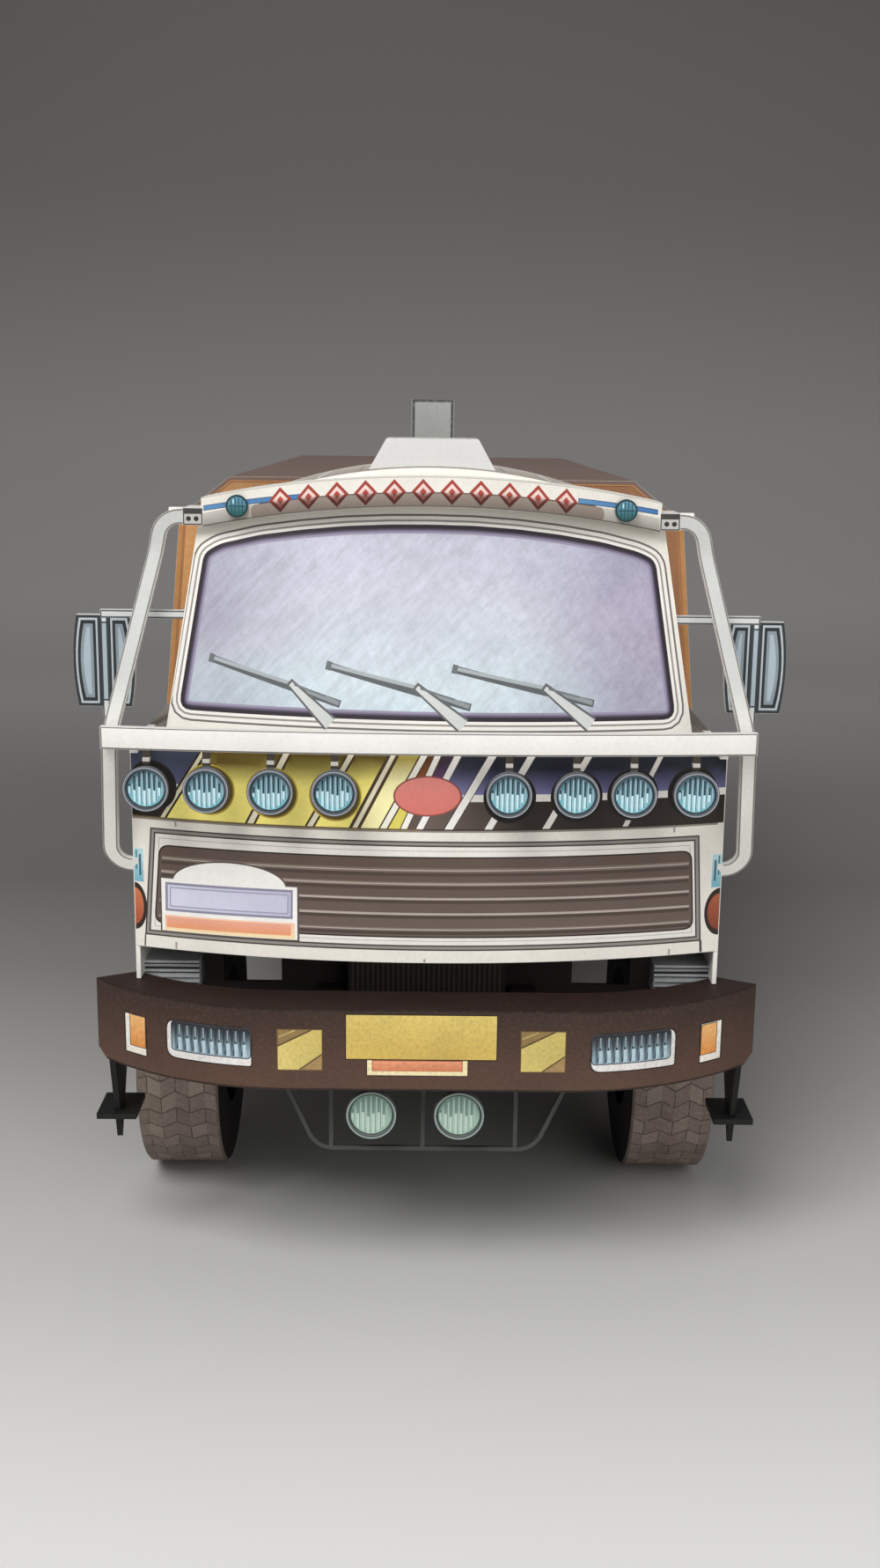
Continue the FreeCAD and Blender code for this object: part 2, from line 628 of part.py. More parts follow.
def guard_bar():
    """Bowed cross bar with two arms back to the cab's front."""
    bar = bar_strip()
    for x in (-BAR_ARM_X, BAR_ARM_X):
        y0 = bar_front(x) + BOARD / 2
        arm = box(x - BAR_ARM_WIDTH / 2, x + BAR_ARM_WIDTH / 2, y0, CAB_CORNER_Y + BELT_BOW,
                  BAR_BOTTOM - BAR_ARM_WIDTH / 2, BAR_BOTTOM + BAR_ARM_WIDTH / 2)
        bar = bar.fuse(arm)
    reach = BAR_HALF
    low = BAR_BOTTOM - BAR_ARM_WIDTH / 2
    bar = bar.common(box(-reach, reach, BAR_Y, CAB_CORNER_Y + BELT_BOW, low, BAR_TOP)).cut(CAB_OUTER)
    return max(bar.Solids, key=lambda solid: solid.Volume)


def loop_top_y():
    """Depth of the loop's upright top, just ahead of the cab's corner at the eaves."""
    return EAVES_FRONT_Y + EAVES_BOW - LOOP_TOP_AHEAD


def guard_loop():
    """Right side loop of the guard: a strip bent in the front view and in the side view."""
    top = EAVES_Z + LOOP_TOP_ABOVE_EAVES
    bar_middle = (BAR_BOTTOM + BAR_TOP) / 2
    foot = BAR_BOTTOM - LOOP_FOOT_BELOW_BAR
    y0 = BUMPER_Y - OVERRUN
    seen = [(LOOP_TOP_X, top), (EAVES_HALF + LOOP_SHOULDER_OUT, top), (CAB_HALF + LOOP_BELT_OUT, bar_middle),
            (LOOP_LOW_X, foot), (CAB_HALF - LOOP_FOOT_INSET, foot)]
    seen = [FreeCAD.Vector(x, y0, z) for x, z in seen]
    front = strip_face(seen, (LOOP_TOP_BEND, LOOP_BEND, LOOP_LOW_BEND), LOOP_WIDTH, AXIS_Y)
    front = front.extrude(AXIS_Y * (CAB_CORNER_Y + SCREEN_RAKE + 2 * OVERRUN - y0))
    bar_y = bar_front(CAB_HALF + LOOP_BELT_OUT) + BOARD * 3 / 2
    top_y = loop_top_y()
    beside = [(top_y, top + LOOP_WIDTH), (top_y, top - LOOP_BEND), (bar_y, bar_middle),
              (CAB_CORNER_Y + LOOP_FOOT_BACK, foot - LOOP_WIDTH)]
    beside = [FreeCAD.Vector(0, y, z) for y, z in beside]
    side = strip_face(beside, (LOOP_BEND, LOOP_BEND), BOARD, AXIS_X)
    side = side.extrude(AXIS_X * (LOOP_LOW_X + OVERRUN))
    loop = front.common(side).cut(CAB_OUTER).cut(bar_strip())
    return max(loop.Solids, key=lambda solid: solid.Volume)


def guard_bracket():
    """Right clamp between the loop's top end and the roof corner."""
    middle = EAVES_Z + LOOP_TOP_ABOVE_EAVES
    y0 = loop_top_y() + BOARD / 2
    low, high = middle - BRACKET_HEIGHT / 2, middle + BRACKET_HEIGHT / 2
    block = box(LOOP_TOP_X - BRACKET_WIDTH, LOOP_TOP_X, y0 - BOARD, y0 + OVERRUN, low, high)
    block = block.fuse(box(LOOP_TOP_X, LOOP_TOP_X + LOOP_WIDTH, y0, y0 + BOARD, low, high))
    block = block.cut(CAB_OUTER).cut(visor_wedge(0, 0))
    return max(block.Solids, key=lambda solid: solid.Volume)


def round_lamp(x, face_y, z, radius, depth, hanger_top):
    """Round lamp with a raised rim, a tapered shell and a hanger strap above it."""
    rim = radius - LAMP_RIM
    lens_y = face_y + LAMP_RIM_DEPTH / 2
    profile = [(lens_y, 0), (lens_y, rim), (face_y, rim), (face_y, radius), (face_y + LAMP_RIM_DEPTH, radius),
               (face_y + LAMP_RIM_DEPTH, rim + LAMP_RIM / 2),
               (face_y + depth, rim - LAMP_RIM), (face_y + depth, 0)]
    points = [FreeCAD.Vector(x, y, z + r) for y, r in profile]
    face = Part.Face(Part.makePolygon(points + points[:1]))
    lamp = face.revolve(FreeCAD.Vector(x, 0, z), AXIS_Y, 360)
    half = LAMP_HANGER / 2
    y0 = face_y + LAMP_AHEAD
    strap = box(x - half, x + half, y0, y0 + LAMP_HANGER, z + rim - LAMP_RIM, hanger_top)
    return lamp.fuse(strap).removeSplitter()


def driving_lamp(x):
    """One lamp of the row under the cross bar."""
    return round_lamp(x, bar_front(x) - LAMP_AHEAD, LAMP_Z, LAMP_RADIUS, LAMP_DEPTH, BAR_BOTTOM)


def fog_lamp(x):
    """Round fog lamp under the bumper."""
    z = BUMPER_BOTTOM - FOG_LAMP_HANGER - FOG_LAMP_RADIUS
    return round_lamp(x, BUMPER_Y + FOG_LAMP_SETBACK, z, FOG_LAMP_RADIUS, FOG_LAMP_DEPTH, BUMPER_BOTTOM)


def mirror():
    """Right mirror pair on its arm: outer head, tube, inner head, one card piece."""
    y0 = CAB_FRONT_Y + BELT_SETBACK + BELT_BOW + MIRROR_BEHIND_CORNER
    low = BELT_Z + MIRROR_BOTTOM_ABOVE_BELT
    high = low + MIRROR_HEIGHT
    inner_edge = MIRROR_TUBE_X - MIRROR_TUBE
    middle = (low + high) / 2

    def head(x0, x1, bulge):
        """Flat head whose free side bulges outwards."""
        corners = [FreeCAD.Vector(x0, y0, low), FreeCAD.Vector(x0, y0, high), FreeCAD.Vector(x1, y0, high),
                   FreeCAD.Vector(x1, y0, low)]
        edges = [Part.makeLine(corners[0], corners[1]), Part.makeLine(corners[1], corners[2]),
                 Part.Arc(corners[2], FreeCAD.Vector(x1 + bulge, y0, middle), corners[3]).toShape(),
                 Part.makeLine(corners[3], corners[0])]
        return Part.Face(Part.Wire(edges)).extrude(AXIS_Y * BOARD)

    outer = head(MIRROR_TUBE_X, MIRROR_TUBE_X + MIRROR_OUTER_WIDTH - MIRROR_BULGE, MIRROR_BULGE)
    inner = head(inner_edge, MIRROR_TUBE_X - MIRROR_INNER_WIDTH + MIRROR_BULGE, -MIRROR_BULGE)
    arm_z = BELT_Z + MIRROR_ARM_ABOVE_BELT
    tube = box(inner_edge, MIRROR_TUBE_X, y0, y0 + BOARD, low - MIRROR_TUBE_DROP, arm_z)
    arm = box(EAVES_HALF - BOARD, MIRROR_TUBE_X, y0, y0 + BOARD, arm_z - MIRROR_ARM, arm_z)
    whole = outer.fuse([inner, tube, arm]).removeSplitter().cut(CAB_OUTER)
    return max(whole.Solids, key=lambda solid: solid.Volume)


# Bumper group

def bumper_plan(inset):
    """Plan outline of the bumper: straight middle, swept ends, ends cut back at a slant."""
    z = BUMPER_BOTTOM
    sweep_x = BUMPER_HALF - BUMPER_STRAIGHT_HALF
    radius = (sweep_x * sweep_x + BUMPER_SWEEP * BUMPER_SWEEP) / (2 * BUMPER_SWEEP)
    half_turn = math.atan2(sweep_x, radius - BUMPER_SWEEP) / 2
    mid_x = BUMPER_STRAIGHT_HALF + radius * math.sin(half_turn)
    mid_y = BUMPER_Y + radius - radius * math.cos(half_turn)
    tip = FreeCAD.Vector(BUMPER_HALF, BUMPER_Y + BUMPER_SWEEP, z)
    start = FreeCAD.Vector(BUMPER_STRAIGHT_HALF, BUMPER_Y, z)
    back_tip = FreeCAD.Vector(BUMPER_HALF - BUMPER_END_CUT, BUMPER_Y + BUMPER_SWEEP + BUMPER_END_BACK, z)
    back_start = FreeCAD.Vector(BUMPER_STRAIGHT_HALF, BUMPER_Y + BUMPER_DEPTH, z)
    chord = back_tip - back_start
    bulge = (BUMPER_SWEEP - BUMPER_END_CUT) / 4
    back_middle = back_start + chord * 0.5 + FreeCAD.Vector(bulge, -bulge, 0)

    def flip(point):
        return FreeCAD.Vector(-point.x, point.y, point.z)

    middle = FreeCAD.Vector(mid_x, mid_y, z)
    edges = [Part.makeLine(flip(start), start),
             Part.Arc(start, middle, tip).toShape(),
             Part.makeLine(tip, back_tip),
             Part.Arc(back_tip, back_middle, back_start).toShape(),
             Part.makeLine(back_start, flip(back_start)),
             Part.Arc(flip(back_start), flip(back_middle), flip(back_tip)).toShape(),
             Part.makeLine(flip(back_tip), flip(tip)),
             Part.Arc(flip(tip), flip(middle), flip(start)).toShape()]
    wire = Part.Wire(edges)
    if inset:
        wire = wire.makeOffset2D(-inset)
    return Part.Face(wire)


def bumper():
    """Hollow card box bumper with cut lower corners at its ends."""
    body = bumper_plan(0).extrude(AXIS_Z * BUMPER_HEIGHT)
    hollow = bumper_plan(CARD).extrude(AXIS_Z * (BUMPER_HEIGHT - 2 * CARD))
    hollow.translate(AXIS_Z * CARD)
    body = body.cut(hollow)
    y0, y1 = BUMPER_Y, BUMPER_Y + BUMPER_SWEEP + BUMPER_DEPTH
    for side in (-1, 1):
        corner = [(side * (BUMPER_HALF - BUMPER_CORNER), BUMPER_BOTTOM - OVERRUN),
                  (side * (BUMPER_HALF + OVERRUN), BUMPER_BOTTOM - OVERRUN),
                  (side * (BUMPER_HALF + OVERRUN), BUMPER_BOTTOM + BUMPER_CORNER + OVERRUN),
                  (side * BUMPER_HALF, BUMPER_BOTTOM + BUMPER_CORNER),
                  (side * (BUMPER_HALF - BUMPER_CORNER), BUMPER_BOTTOM)]
        body = body.cut(prism_along_y(corner, y0, y1))
    return body


def bumper_step():
    """Right corner step: an upright pointed fin crossed by a level plate."""
    front = BUMPER_Y + STEP_FIN_FRONT
    tip_y = front + STEP_FIN_LENGTH * STEP_FIN_TIP_SHARE
    outline = [(front, BUMPER_BOTTOM), (front + STEP_FIN_LENGTH, BUMPER_BOTTOM),
               (tip_y, BUMPER_BOTTOM - STEP_FIN_DROP)]
    fin = prism_along_x(outline, STEP_FIN_X - STEP_CARD / 2, STEP_FIN_X + STEP_CARD / 2)
    plate_y = front + STEP_PLATE_SETBACK
    plate_z = BUMPER_BOTTOM - STEP_PLATE_DROP
    plate = box(STEP_FIN_X - STEP_PLATE_WIDTH / 2, STEP_FIN_X + STEP_PLATE_WIDTH / 2, plate_y,
                plate_y + STEP_PLATE_LENGTH, plate_z - STEP_CARD, plate_z)
    return fin.fuse(plate).removeSplitter()


def fog_guard():
    """Bent strip under the bumper with upright posts, cut from one flat card."""
    y0 = BUMPER_Y + FOG_GUARD_SETBACK
    low = BUMPER_BOTTOM - FOG_GUARD_DROP + FOG_GUARD_STRIP / 2
    foot = FOG_GUARD_HALF - FOG_GUARD_SLOPE
    path = [(-FOG_GUARD_HALF, BUMPER_BOTTOM), (-foot, low), (foot, low), (FOG_GUARD_HALF, BUMPER_BOTTOM)]
    path = [FreeCAD.Vector(x, y0, z) for x, z in path]
    frame = strip_face(path, (FOG_GUARD_RADIUS, FOG_GUARD_RADIUS), FOG_GUARD_STRIP, AXIS_Y)
    frame = frame.extrude(AXIS_Y * FOG_GUARD_STRIP)
    half = FOG_GUARD_STRIP / 2
    for share in FOG_GUARD_POST_SHARES:
        x = foot * share
        frame = frame.fuse(box(x - half, x + half, y0, y0 + FOG_GUARD_STRIP, low, BUMPER_BOTTOM))
    deepest = BUMPER_BOTTOM - 2 * FOG_GUARD_DROP
    limit = box(-BUMPER_HALF, BUMPER_HALF, BUMPER_Y, y0 + OVERRUN, deepest, BUMPER_BOTTOM)
    return frame.common(limit).removeSplitter()


# Chassis

def frame_rail():
    """Right frame rail, a channel open towards the centreline."""
    low, high = RAIL_BOTTOM, RAIL_TOP
    outline = [(RAIL_INNER, low), (RAIL_OUTER, low), (RAIL_OUTER, high), (RAIL_INNER, high),
               (RAIL_INNER, high - RAIL_WALL), (RAIL_WEB, high - RAIL_WALL), (RAIL_WEB, low + RAIL_WALL),
               (RAIL_INNER, low + RAIL_WALL)]
    return prism_along_y(outline, RAIL_FRONT_Y, RAIL_REAR_Y)


def crossmembers():
    """Cross boxes between the rails, glued to both webs."""
    low, high = RAIL_BOTTOM + RAIL_WALL, RAIL_TOP - RAIL_WALL
    boxes = []
    for share in CROSS_PLACE_SHARES:
        y0 = RAIL_FRONT_Y + (RAIL_REAR_Y - RAIL_FRONT_Y - CROSS_DEPTH) * share
        boxes.append(box(-RAIL_WEB, RAIL_WEB, y0, y0 + CROSS_DEPTH, low, high))
    return Part.makeCompound(boxes)


def runner():
    """Right bed runner, a long strip between rail and bed."""
    return box(RAIL_INNER, RAIL_OUTER, BODY_FRONT_Y, TAIL_Y - CARD, RAIL_TOP, BED_BOTTOM)


def front_panel():
    """Dark panel under the cab's nose with two square openings, notched over the rails."""
    panel = box(-PANEL_HALF, PANEL_HALF, PANEL_Y, PANEL_Y + CARD, RAIL_BOTTOM, CAB_BOTTOM)
    hole_outer = PANEL_HALF - PANEL_HOLE_MARGIN
    hole_top = CAB_BOTTOM - CARD
    for side in (-1, 1):
        x0, x1 = sorted((side * hole_outer, side * (hole_outer - PANEL_HOLE_WIDTH)))
        hole = box(x0, x1, PANEL_Y - OVERRUN, PANEL_Y + OVERRUN, hole_top - PANEL_HOLE_HEIGHT, hole_top)
        panel = panel.cut(hole)
        x0, x1 = sorted((side * RAIL_INNER, side * RAIL_OUTER))
        panel = panel.cut(box(x0, x1, PANEL_Y - OVERRUN, PANEL_Y + OVERRUN, RAIL_BOTTOM - OVERRUN, RAIL_TOP))
    return panel


def radiator():
    """Radiator block on the front of the panel."""
    half = RAIL_INNER - RADIATOR_SIDE_GAP
    return box(-half, half, PANEL_Y - RADIATOR_DEPTH, PANEL_Y, RAIL_BOTTOM, CAB_BOTTOM - CARD)


def engine_block():
    """Engine and gearbox as one plain block with a round tail."""
    y0 = PANEL_Y + CARD
    low = RAIL_BOTTOM - ENGINE_DROP
    half = RAIL_INNER - ENGINE_ROOM
    block = box(-half, half, y0, y0 + ENGINE_LENGTH, low, low + ENGINE_HEIGHT)
    z = RAIL_BOTTOM - GEARBOX_BELOW_RAIL
    start = FreeCAD.Vector(0, y0 + ENGINE_LENGTH - CARD, z)
    tail = Part.makeCylinder(GEARBOX_RADIUS, GEARBOX_LENGTH, start, AXIS_Y)
    rail_box = box(-RAIL_WEB, RAIL_WEB, RAIL_FRONT_Y, RAIL_REAR_Y, RAIL_BOTTOM + RAIL_WALL, RAIL_TOP)
    tail = tail.cut(rail_box)
    return block.fuse(tail).removeSplitter()


def propeller_shaft():
    """Shaft from the gearbox down to the rear axle's differential."""
    start_y = PANEL_Y + ENGINE_LENGTH + GEARBOX_LENGTH
    start = FreeCAD.Vector(0, start_y, RAIL_BOTTOM - GEARBOX_BELOW_RAIL)
    end = FreeCAD.Vector(0, REAR_AXLE_Y - DIFFERENTIAL_LENGTH / 2, AXLE_Z)
    way = end - start
    shaft = Part.makeCylinder(SHAFT_RADIUS, way.Length, start, way)
    trim = box(-RAIL_INNER, RAIL_INNER, start_y, end.y, 0, RAIL_TOP)
    return shaft.common(trim)


def spring(axle_y):
    """Right leaf spring: an arched strip with a hanger at each end and a saddle on the axle."""
    middle_x = (RAIL_INNER + RAIL_OUTER) / 2
    x0, x1 = middle_x - SPRING_WIDTH / 2, middle_x + SPRING_WIDTH / 2
    half = SPRING_LENGTH / 2
    low = AXLE_Z + AXLE_TUBE_RADIUS
    edges = []
    for lift in (0, SPRING_LEAVES):
        ends = low + SPRING_ARCH + lift
        left = FreeCAD.Vector(x0, axle_y - half, ends)
        right = FreeCAD.Vector(x0, axle_y + half, ends)
        edges.append(Part.Arc(left, FreeCAD.Vector(x0, axle_y, low + lift), right).toShape())
    for hand in (-1, 1):
        foot = FreeCAD.Vector(x0, axle_y + hand * half, low + SPRING_ARCH)
        edges.append(Part.makeLine(foot, foot + AXIS_Z * SPRING_LEAVES))
    leaves = Part.Face(Part.Wire(Part.__sortEdges__(edges))).extrude(AXIS_X * SPRING_WIDTH)
    for hand in (-1, 1):
        y_end = axle_y + hand * half
        y0, y1 = sorted((y_end, y_end - hand * SPRING_HANGER))
        leaves = leaves.fuse(box(x0, x1, y0, y1, low + SPRING_ARCH, RAIL_BOTTOM))
    return leaves.removeSplitter()


def axle_tube(axle_y, inner_face, with_differential):
    """Rolled axle tube across the truck, bored for the rod, with flat spring seats."""
    half = inner_face - END_FLOAT
    bore = ROD_RADIUS + GLUE_LINE
    tube = tube_along_x(axle_y, AXLE_Z, AXLE_TUBE_RADIUS, 0, -half, half)
    middle_x = (RAIL_INNER + RAIL_OUTER) / 2
    radius = AXLE_TUBE_RADIUS
    for side in (-1, 1):
        x0, x1 = sorted((side * (middle_x - SPRING_WIDTH / 2), side * (middle_x + SPRING_WIDTH / 2)))
        tube = tube.fuse(box(x0, x1, axle_y - radius, axle_y + radius, AXLE_Z, AXLE_Z + radius))
    if with_differential:
        start = FreeCAD.Vector(0, axle_y - DIFFERENTIAL_LENGTH / 2, AXLE_Z)
        tube = tube.fuse(Part.makeCylinder(DIFFERENTIAL_RADIUS, DIFFERENTIAL_LENGTH, start, AXIS_Y))
    return tube.cut(tube_along_x(axle_y, AXLE_Z, bore, 0, -half - OVERRUN, half + OVERRUN)).removeSplitter()


def axle_rod(axle_y, dish):
    """Straight rod through the tube with a glued cap outside each wheel."""
    face = TYRE_OUTER_FACE - dish + HUB_HEIGHT + END_FLOAT
    rod = tube_along_x(axle_y, AXLE_Z, ROD_RADIUS, 0, -face, face)
    for side in (-1, 1):
        x0, x1 = sorted((side * face, side * (face + ROD_CAP_WIDTH)))
        rod = rod.fuse(tube_along_x(axle_y, AXLE_Z, ROD_CAP_RADIUS, 0, x0, x1))
    return rod.removeSplitter()


# Wheels

def tyre(axle_y, inner_face, outer_face):
    """Card tyre drum with cut shoulders and a round hole for the rim."""
    cut = TYRE_SHOULDER
    hole = RIM_RADIUS + GLUE_LINE
    profile = [(inner_face, hole), (outer_face, hole), (outer_face, TYRE_RADIUS - cut),
               (outer_face - cut, TYRE_RADIUS), (inner_face + cut, TYRE_RADIUS),
               (inner_face, TYRE_RADIUS - cut)]
    return turned_on_x(profile, axle_y, AXLE_Z)


def wheel(axle_y, inner_face, outer_face, dish):
    """Rolled rim with its web set in by the dish, and a hub bored for the rod."""
    bore = ROD_RADIUS + RUNNING_FIT
    web = outer_face - dish
    inside = RIM_RADIUS - RIM_WALL
    profile = [(inner_face, inside), (inner_face, RIM_RADIUS), (outer_face - RIM_LIP, RIM_RADIUS),
               (outer_face - RIM_LIP, inside), (web, inside), (web, HUB_RADIUS),
               (web + HUB_HEIGHT, HUB_RADIUS - RIM_WALL), (web + HUB_HEIGHT, bore), (inner_face, bore),
               (inner_face, HUB_RADIUS), (web - BOARD, HUB_RADIUS), (web - BOARD, inside)]
    return turned_on_x(profile, axle_y, AXLE_Z)


# Load body

def bed_floor():
    """Flat bed board."""
    half = BODY_HALF - BOARD
    return box(-half, half, BODY_FRONT_Y + BOARD, TAIL_Y - BOARD, BED_BOTTOM, BED_TOP)


def bed_bearers():
    """Short outriggers under the bed, glued to the runners."""
    pieces = []
    places = [BODY_FRONT_Y + (MUDGUARD_FRONT_Y - BODY_FRONT_Y) * share for share in FRONT_BEARER_PLACE_SHARES]
    places.append(MUDGUARD_REAR_Y + (TAIL_Y - MUDGUARD_REAR_Y) * REAR_BEARER_PLACE_SHARE)
    for y0 in places:
        for side in (-1, 1):
            x0, x1 = sorted((side * RAIL_OUTER, side * (BODY_HALF - BOARD)))
            pieces.append(box(x0, x1, y0, y0 + BEARER_WIDTH, BED_BOTTOM - BEARER_HEIGHT, BED_BOTTOM))
    return Part.makeCompound(pieces)


def drop_side():
    """Right drop side with raised posts."""
    side = box(BODY_HALF - BOARD, BODY_HALF - POST_RELIEF, BODY_FRONT_Y, TAIL_Y, BED_BOTTOM, TILT_BOTTOM)
    for share in POST_PLACE_SHARES:
        y0 = BODY_FRONT_Y + (TAIL_Y - BODY_FRONT_Y - POST_WIDTH) * share
        side = side.fuse(box(BODY_HALF - BOARD, BODY_HALF, y0, y0 + POST_WIDTH, BED_BOTTOM, TILT_BOTTOM))
    return side.removeSplitter()


def end_board(y0):
    """Headboard or tailgate between the drop sides."""
    half = BODY_HALF - BOARD
    return box(-half, half, y0, y0 + BOARD, BED_BOTTOM, TILT_BOTTOM)


def tilt_outline(inset):
    """Half outline of the cover, mirrored: leaning side, chamfered eaves and flat top."""
    lean = math.atan2(BODY_HALF - TILT_EAVES_HALF, TILT_EAVES_HEIGHT)
    slope = math.atan2(TILT_CHAMFER_HEIGHT, TILT_EAVES_HALF - TILT_TOP_HALF)
    fold = math.pi / 2 - lean - slope
    foot = (BODY_HALF - inset / math.cos(lean), TILT_BOTTOM)
    middle_angle = lean + fold / 2
    reach = inset / math.cos(fold / 2)
    eaves = (TILT_EAVES_HALF - reach * math.cos(middle_angle), TILT_EAVES_Z - reach * math.sin(middle_angle))
    top_fold = slope
    top = (TILT_TOP_HALF - inset * math.tan(top_fold / 2), TILT_TOP - inset)
    right = [foot, eaves, top]
    left = [(-x, z) for x, z in reversed(right)]
    return right + left


def tilt_shell():
    """Folded card cover, open at both ends."""
    shell = prism_along_y(tilt_outline(0), BODY_FRONT_Y, TAIL_Y)
    return shell.cut(prism_along_y(tilt_outline(CARD), BODY_FRONT_Y - OVERRUN, TAIL_Y + OVERRUN))


def tilt_roof():
    """Flat top and chamfered eaves of the cover."""
    reach = BODY_HALF + OVERRUN
    return tilt_shell().common(box(-reach, reach, BODY_FRONT_Y, TAIL_Y, TILT_EAVES_Z, TILT_TOP + OVERRUN))


def tilt_side():
    """Right leaning side of the cover."""
    return tilt_shell().common(box(0, BODY_HALF + OVERRUN, BODY_FRONT_Y, TAIL_Y, TILT_BOTTOM, TILT_EAVES_Z))


def tilt_end(y0):
    """Front or rear sheet of the cover, set inside the folded shell."""
    return prism_along_y(tilt_outline(CARD), y0, y0 + CARD)


def mudguard():
    """Right rear mudguard, a rolled strip over both tyres with a hanging flap."""
    width = BODY_HALF - BOARD
    radius = MUDGUARD_RADIUS
    ring = tube_along_x(REAR_AXLE_Y, AXLE_Z, radius, radius - CARD, MUDGUARD_INNER, width)
    low = AXLE_Z + MUDGUARD_END_HEIGHT
    reach = radius + OVERRUN
    ring = ring.common(box(0, width, REAR_AXLE_Y - reach, REAR_AXLE_Y + reach, low, BED_BOTTOM))
    edge = REAR_AXLE_Y + math.sqrt(radius * radius - MUDGUARD_END_HEIGHT * MUDGUARD_END_HEIGHT)
    flap = box(MUDGUARD_INNER, width, edge - CARD, edge, low + CARD - FLAP_HEIGHT, low + CARD)
    return ring.fuse(flap).removeSplitter()


# Side boxes and rear end

def hangers(side):
    """Two brackets between a frame rail and a side box."""
    x0, x1 = sorted((side * RAIL_OUTER, side * SIDE_BOX_INNER))
    top = SIDE_BOX_BOTTOM + SIDE_BOX_HEIGHT
    places = [SIDE_BOX_Y0 + (SIDE_BOX_Y1 - SIDE_BOX_Y0) * share for share in HANGER_PLACE_SHARES]
    return [box(x0, x1, y, y + HANGER_WIDTH, RAIL_BOTTOM, top) for y in places]


def fuel_tank():
    """Left fuel tank with rounded long edges and its brackets."""
    top = SIDE_BOX_BOTTOM + SIDE_BOX_HEIGHT
    tank = box(-SIDE_BOX_OUTER, -SIDE_BOX_INNER, SIDE_BOX_Y0, SIDE_BOX_Y1, SIDE_BOX_BOTTOM, top)
    long_edges = [edge for edge in tank.Edges if abs(edge.tangentAt(edge.FirstParameter).y) > 0.9]
    tank = tank.makeFillet(TANK_CORNER, long_edges)
    return tank.fuse(hangers(-1)).removeSplitter()


def tool_box():
    """Right tool and battery box with its brackets."""
    top = SIDE_BOX_BOTTOM + SIDE_BOX_HEIGHT
    body = box(SIDE_BOX_INNER, SIDE_BOX_OUTER, SIDE_BOX_Y0, SIDE_BOX_Y1, SIDE_BOX_BOTTOM, top)
    return body.fuse(hangers(1)).removeSplitter()


def rear_underrun():
    """Cross beam hung from the rail ends by two plates."""
    y1 = RAIL_REAR_Y - UNDERRUN_INSET
    y0 = y1 - UNDERRUN_DEPTH
    low = RAIL_BOTTOM - UNDERRUN_DROP
    half = BODY_HALF - UNDERRUN_SHORT
    beam = box(-half, half, y0, y1, low, low + UNDERRUN_HEIGHT)
    for side in (-1, 1):
        x0, x1 = sorted((side * RAIL_INNER, side * RAIL_OUTER))
        beam = beam.fuse(box(x0, x1, y0, y1, low + UNDERRUN_HEIGHT, RAIL_BOTTOM))
    return beam.removeSplitter()


def lamp_board():
    """Right rear lamp board under the bed's tail."""
    y1 = TAIL_Y - BOARD
    outer = BODY_HALF - LAMP_BOARD_TUCK
    return box(outer - LAMP_BOARD_WIDTH, outer, y1 - BOARD, y1, BED_BOTTOM - LAMP_BOARD_HEIGHT, BED_BOTTOM)


def tow_coupling():
    """Coupling block on the last crossmember with an upright pin hole."""
    last = CROSS_DEPTH + RAIL_FRONT_Y + (RAIL_REAR_Y - RAIL_FRONT_Y - CROSS_DEPTH) * CROSS_PLACE_SHARES[-1]
    middle = (RAIL_BOTTOM + RAIL_TOP) / 2
    block = box(-COUPLING_HALF, COUPLING_HALF, last, last + COUPLING_LENGTH, middle - COUPLING_HEIGHT / 2,
                middle + COUPLING_HEIGHT / 2)
    centre = FreeCAD.Vector(0, last + COUPLING_LENGTH / 2, middle - COUPLING_HEIGHT / 2 - OVERRUN)
    return block.cut(Part.makeCylinder(COUPLING_BORE, COUPLING_HEIGHT + 2 * OVERRUN, centre, AXIS_Z))


def write(name, shape):
    """One piece to one file, checked for closed, valid solids."""
    for solid in shape.Solids:
        if not solid.isValid() or solid.Volume <= 0:
            print("bad solid in", name)
    shape.exportStep("parts/" + name + ".step")
    print(name, len(shape.Solids), round(sum(solid.Volume for solid in shape.Solids), 1))


def write_pair(name, right):
    """Right piece and its mirror image, each in its own file."""
    write(name + "_right", right)
    write(name + "_left", mirrored(right))


def both(right):
    """Right piece and its mirror image as two solids of one file."""
    return Part.makeCompound([right, mirrored(right)])


os.makedirs("parts", exist_ok=True)

write("frame_rails", both(frame_rail()))
write("crossmembers", crossmembers())
write("bed_runners", both(runner()))
write("front_panel", front_panel())
write("radiator", radiator())
write("engine_block", engine_block())
write("propeller_shaft", propeller_shaft())
write("fuel_tank", fuel_tank())
write("tool_box", tool_box())
write("rear_underrun", rear_underrun())
write("lamp_boards", both(lamp_board()))
write("tow_coupling", tow_coupling())

springs = [both(spring(FRONT_AXLE_Y)), both(spring(REAR_AXLE_Y))]
write("leaf_springs", Part.makeCompound(springs))
write("front_axle_tube", axle_tube(FRONT_AXLE_Y, FRONT_TYRE_INNER_FACE, False))
write("rear_axle_tube", axle_tube(REAR_AXLE_Y, REAR_INNER_TYRE_INNER, True))
rods = [axle_rod(FRONT_AXLE_Y, FRONT_DISH), axle_rod(REAR_AXLE_Y, REAR_DISH)]
write("axle_rods", Part.makeCompound(rods))

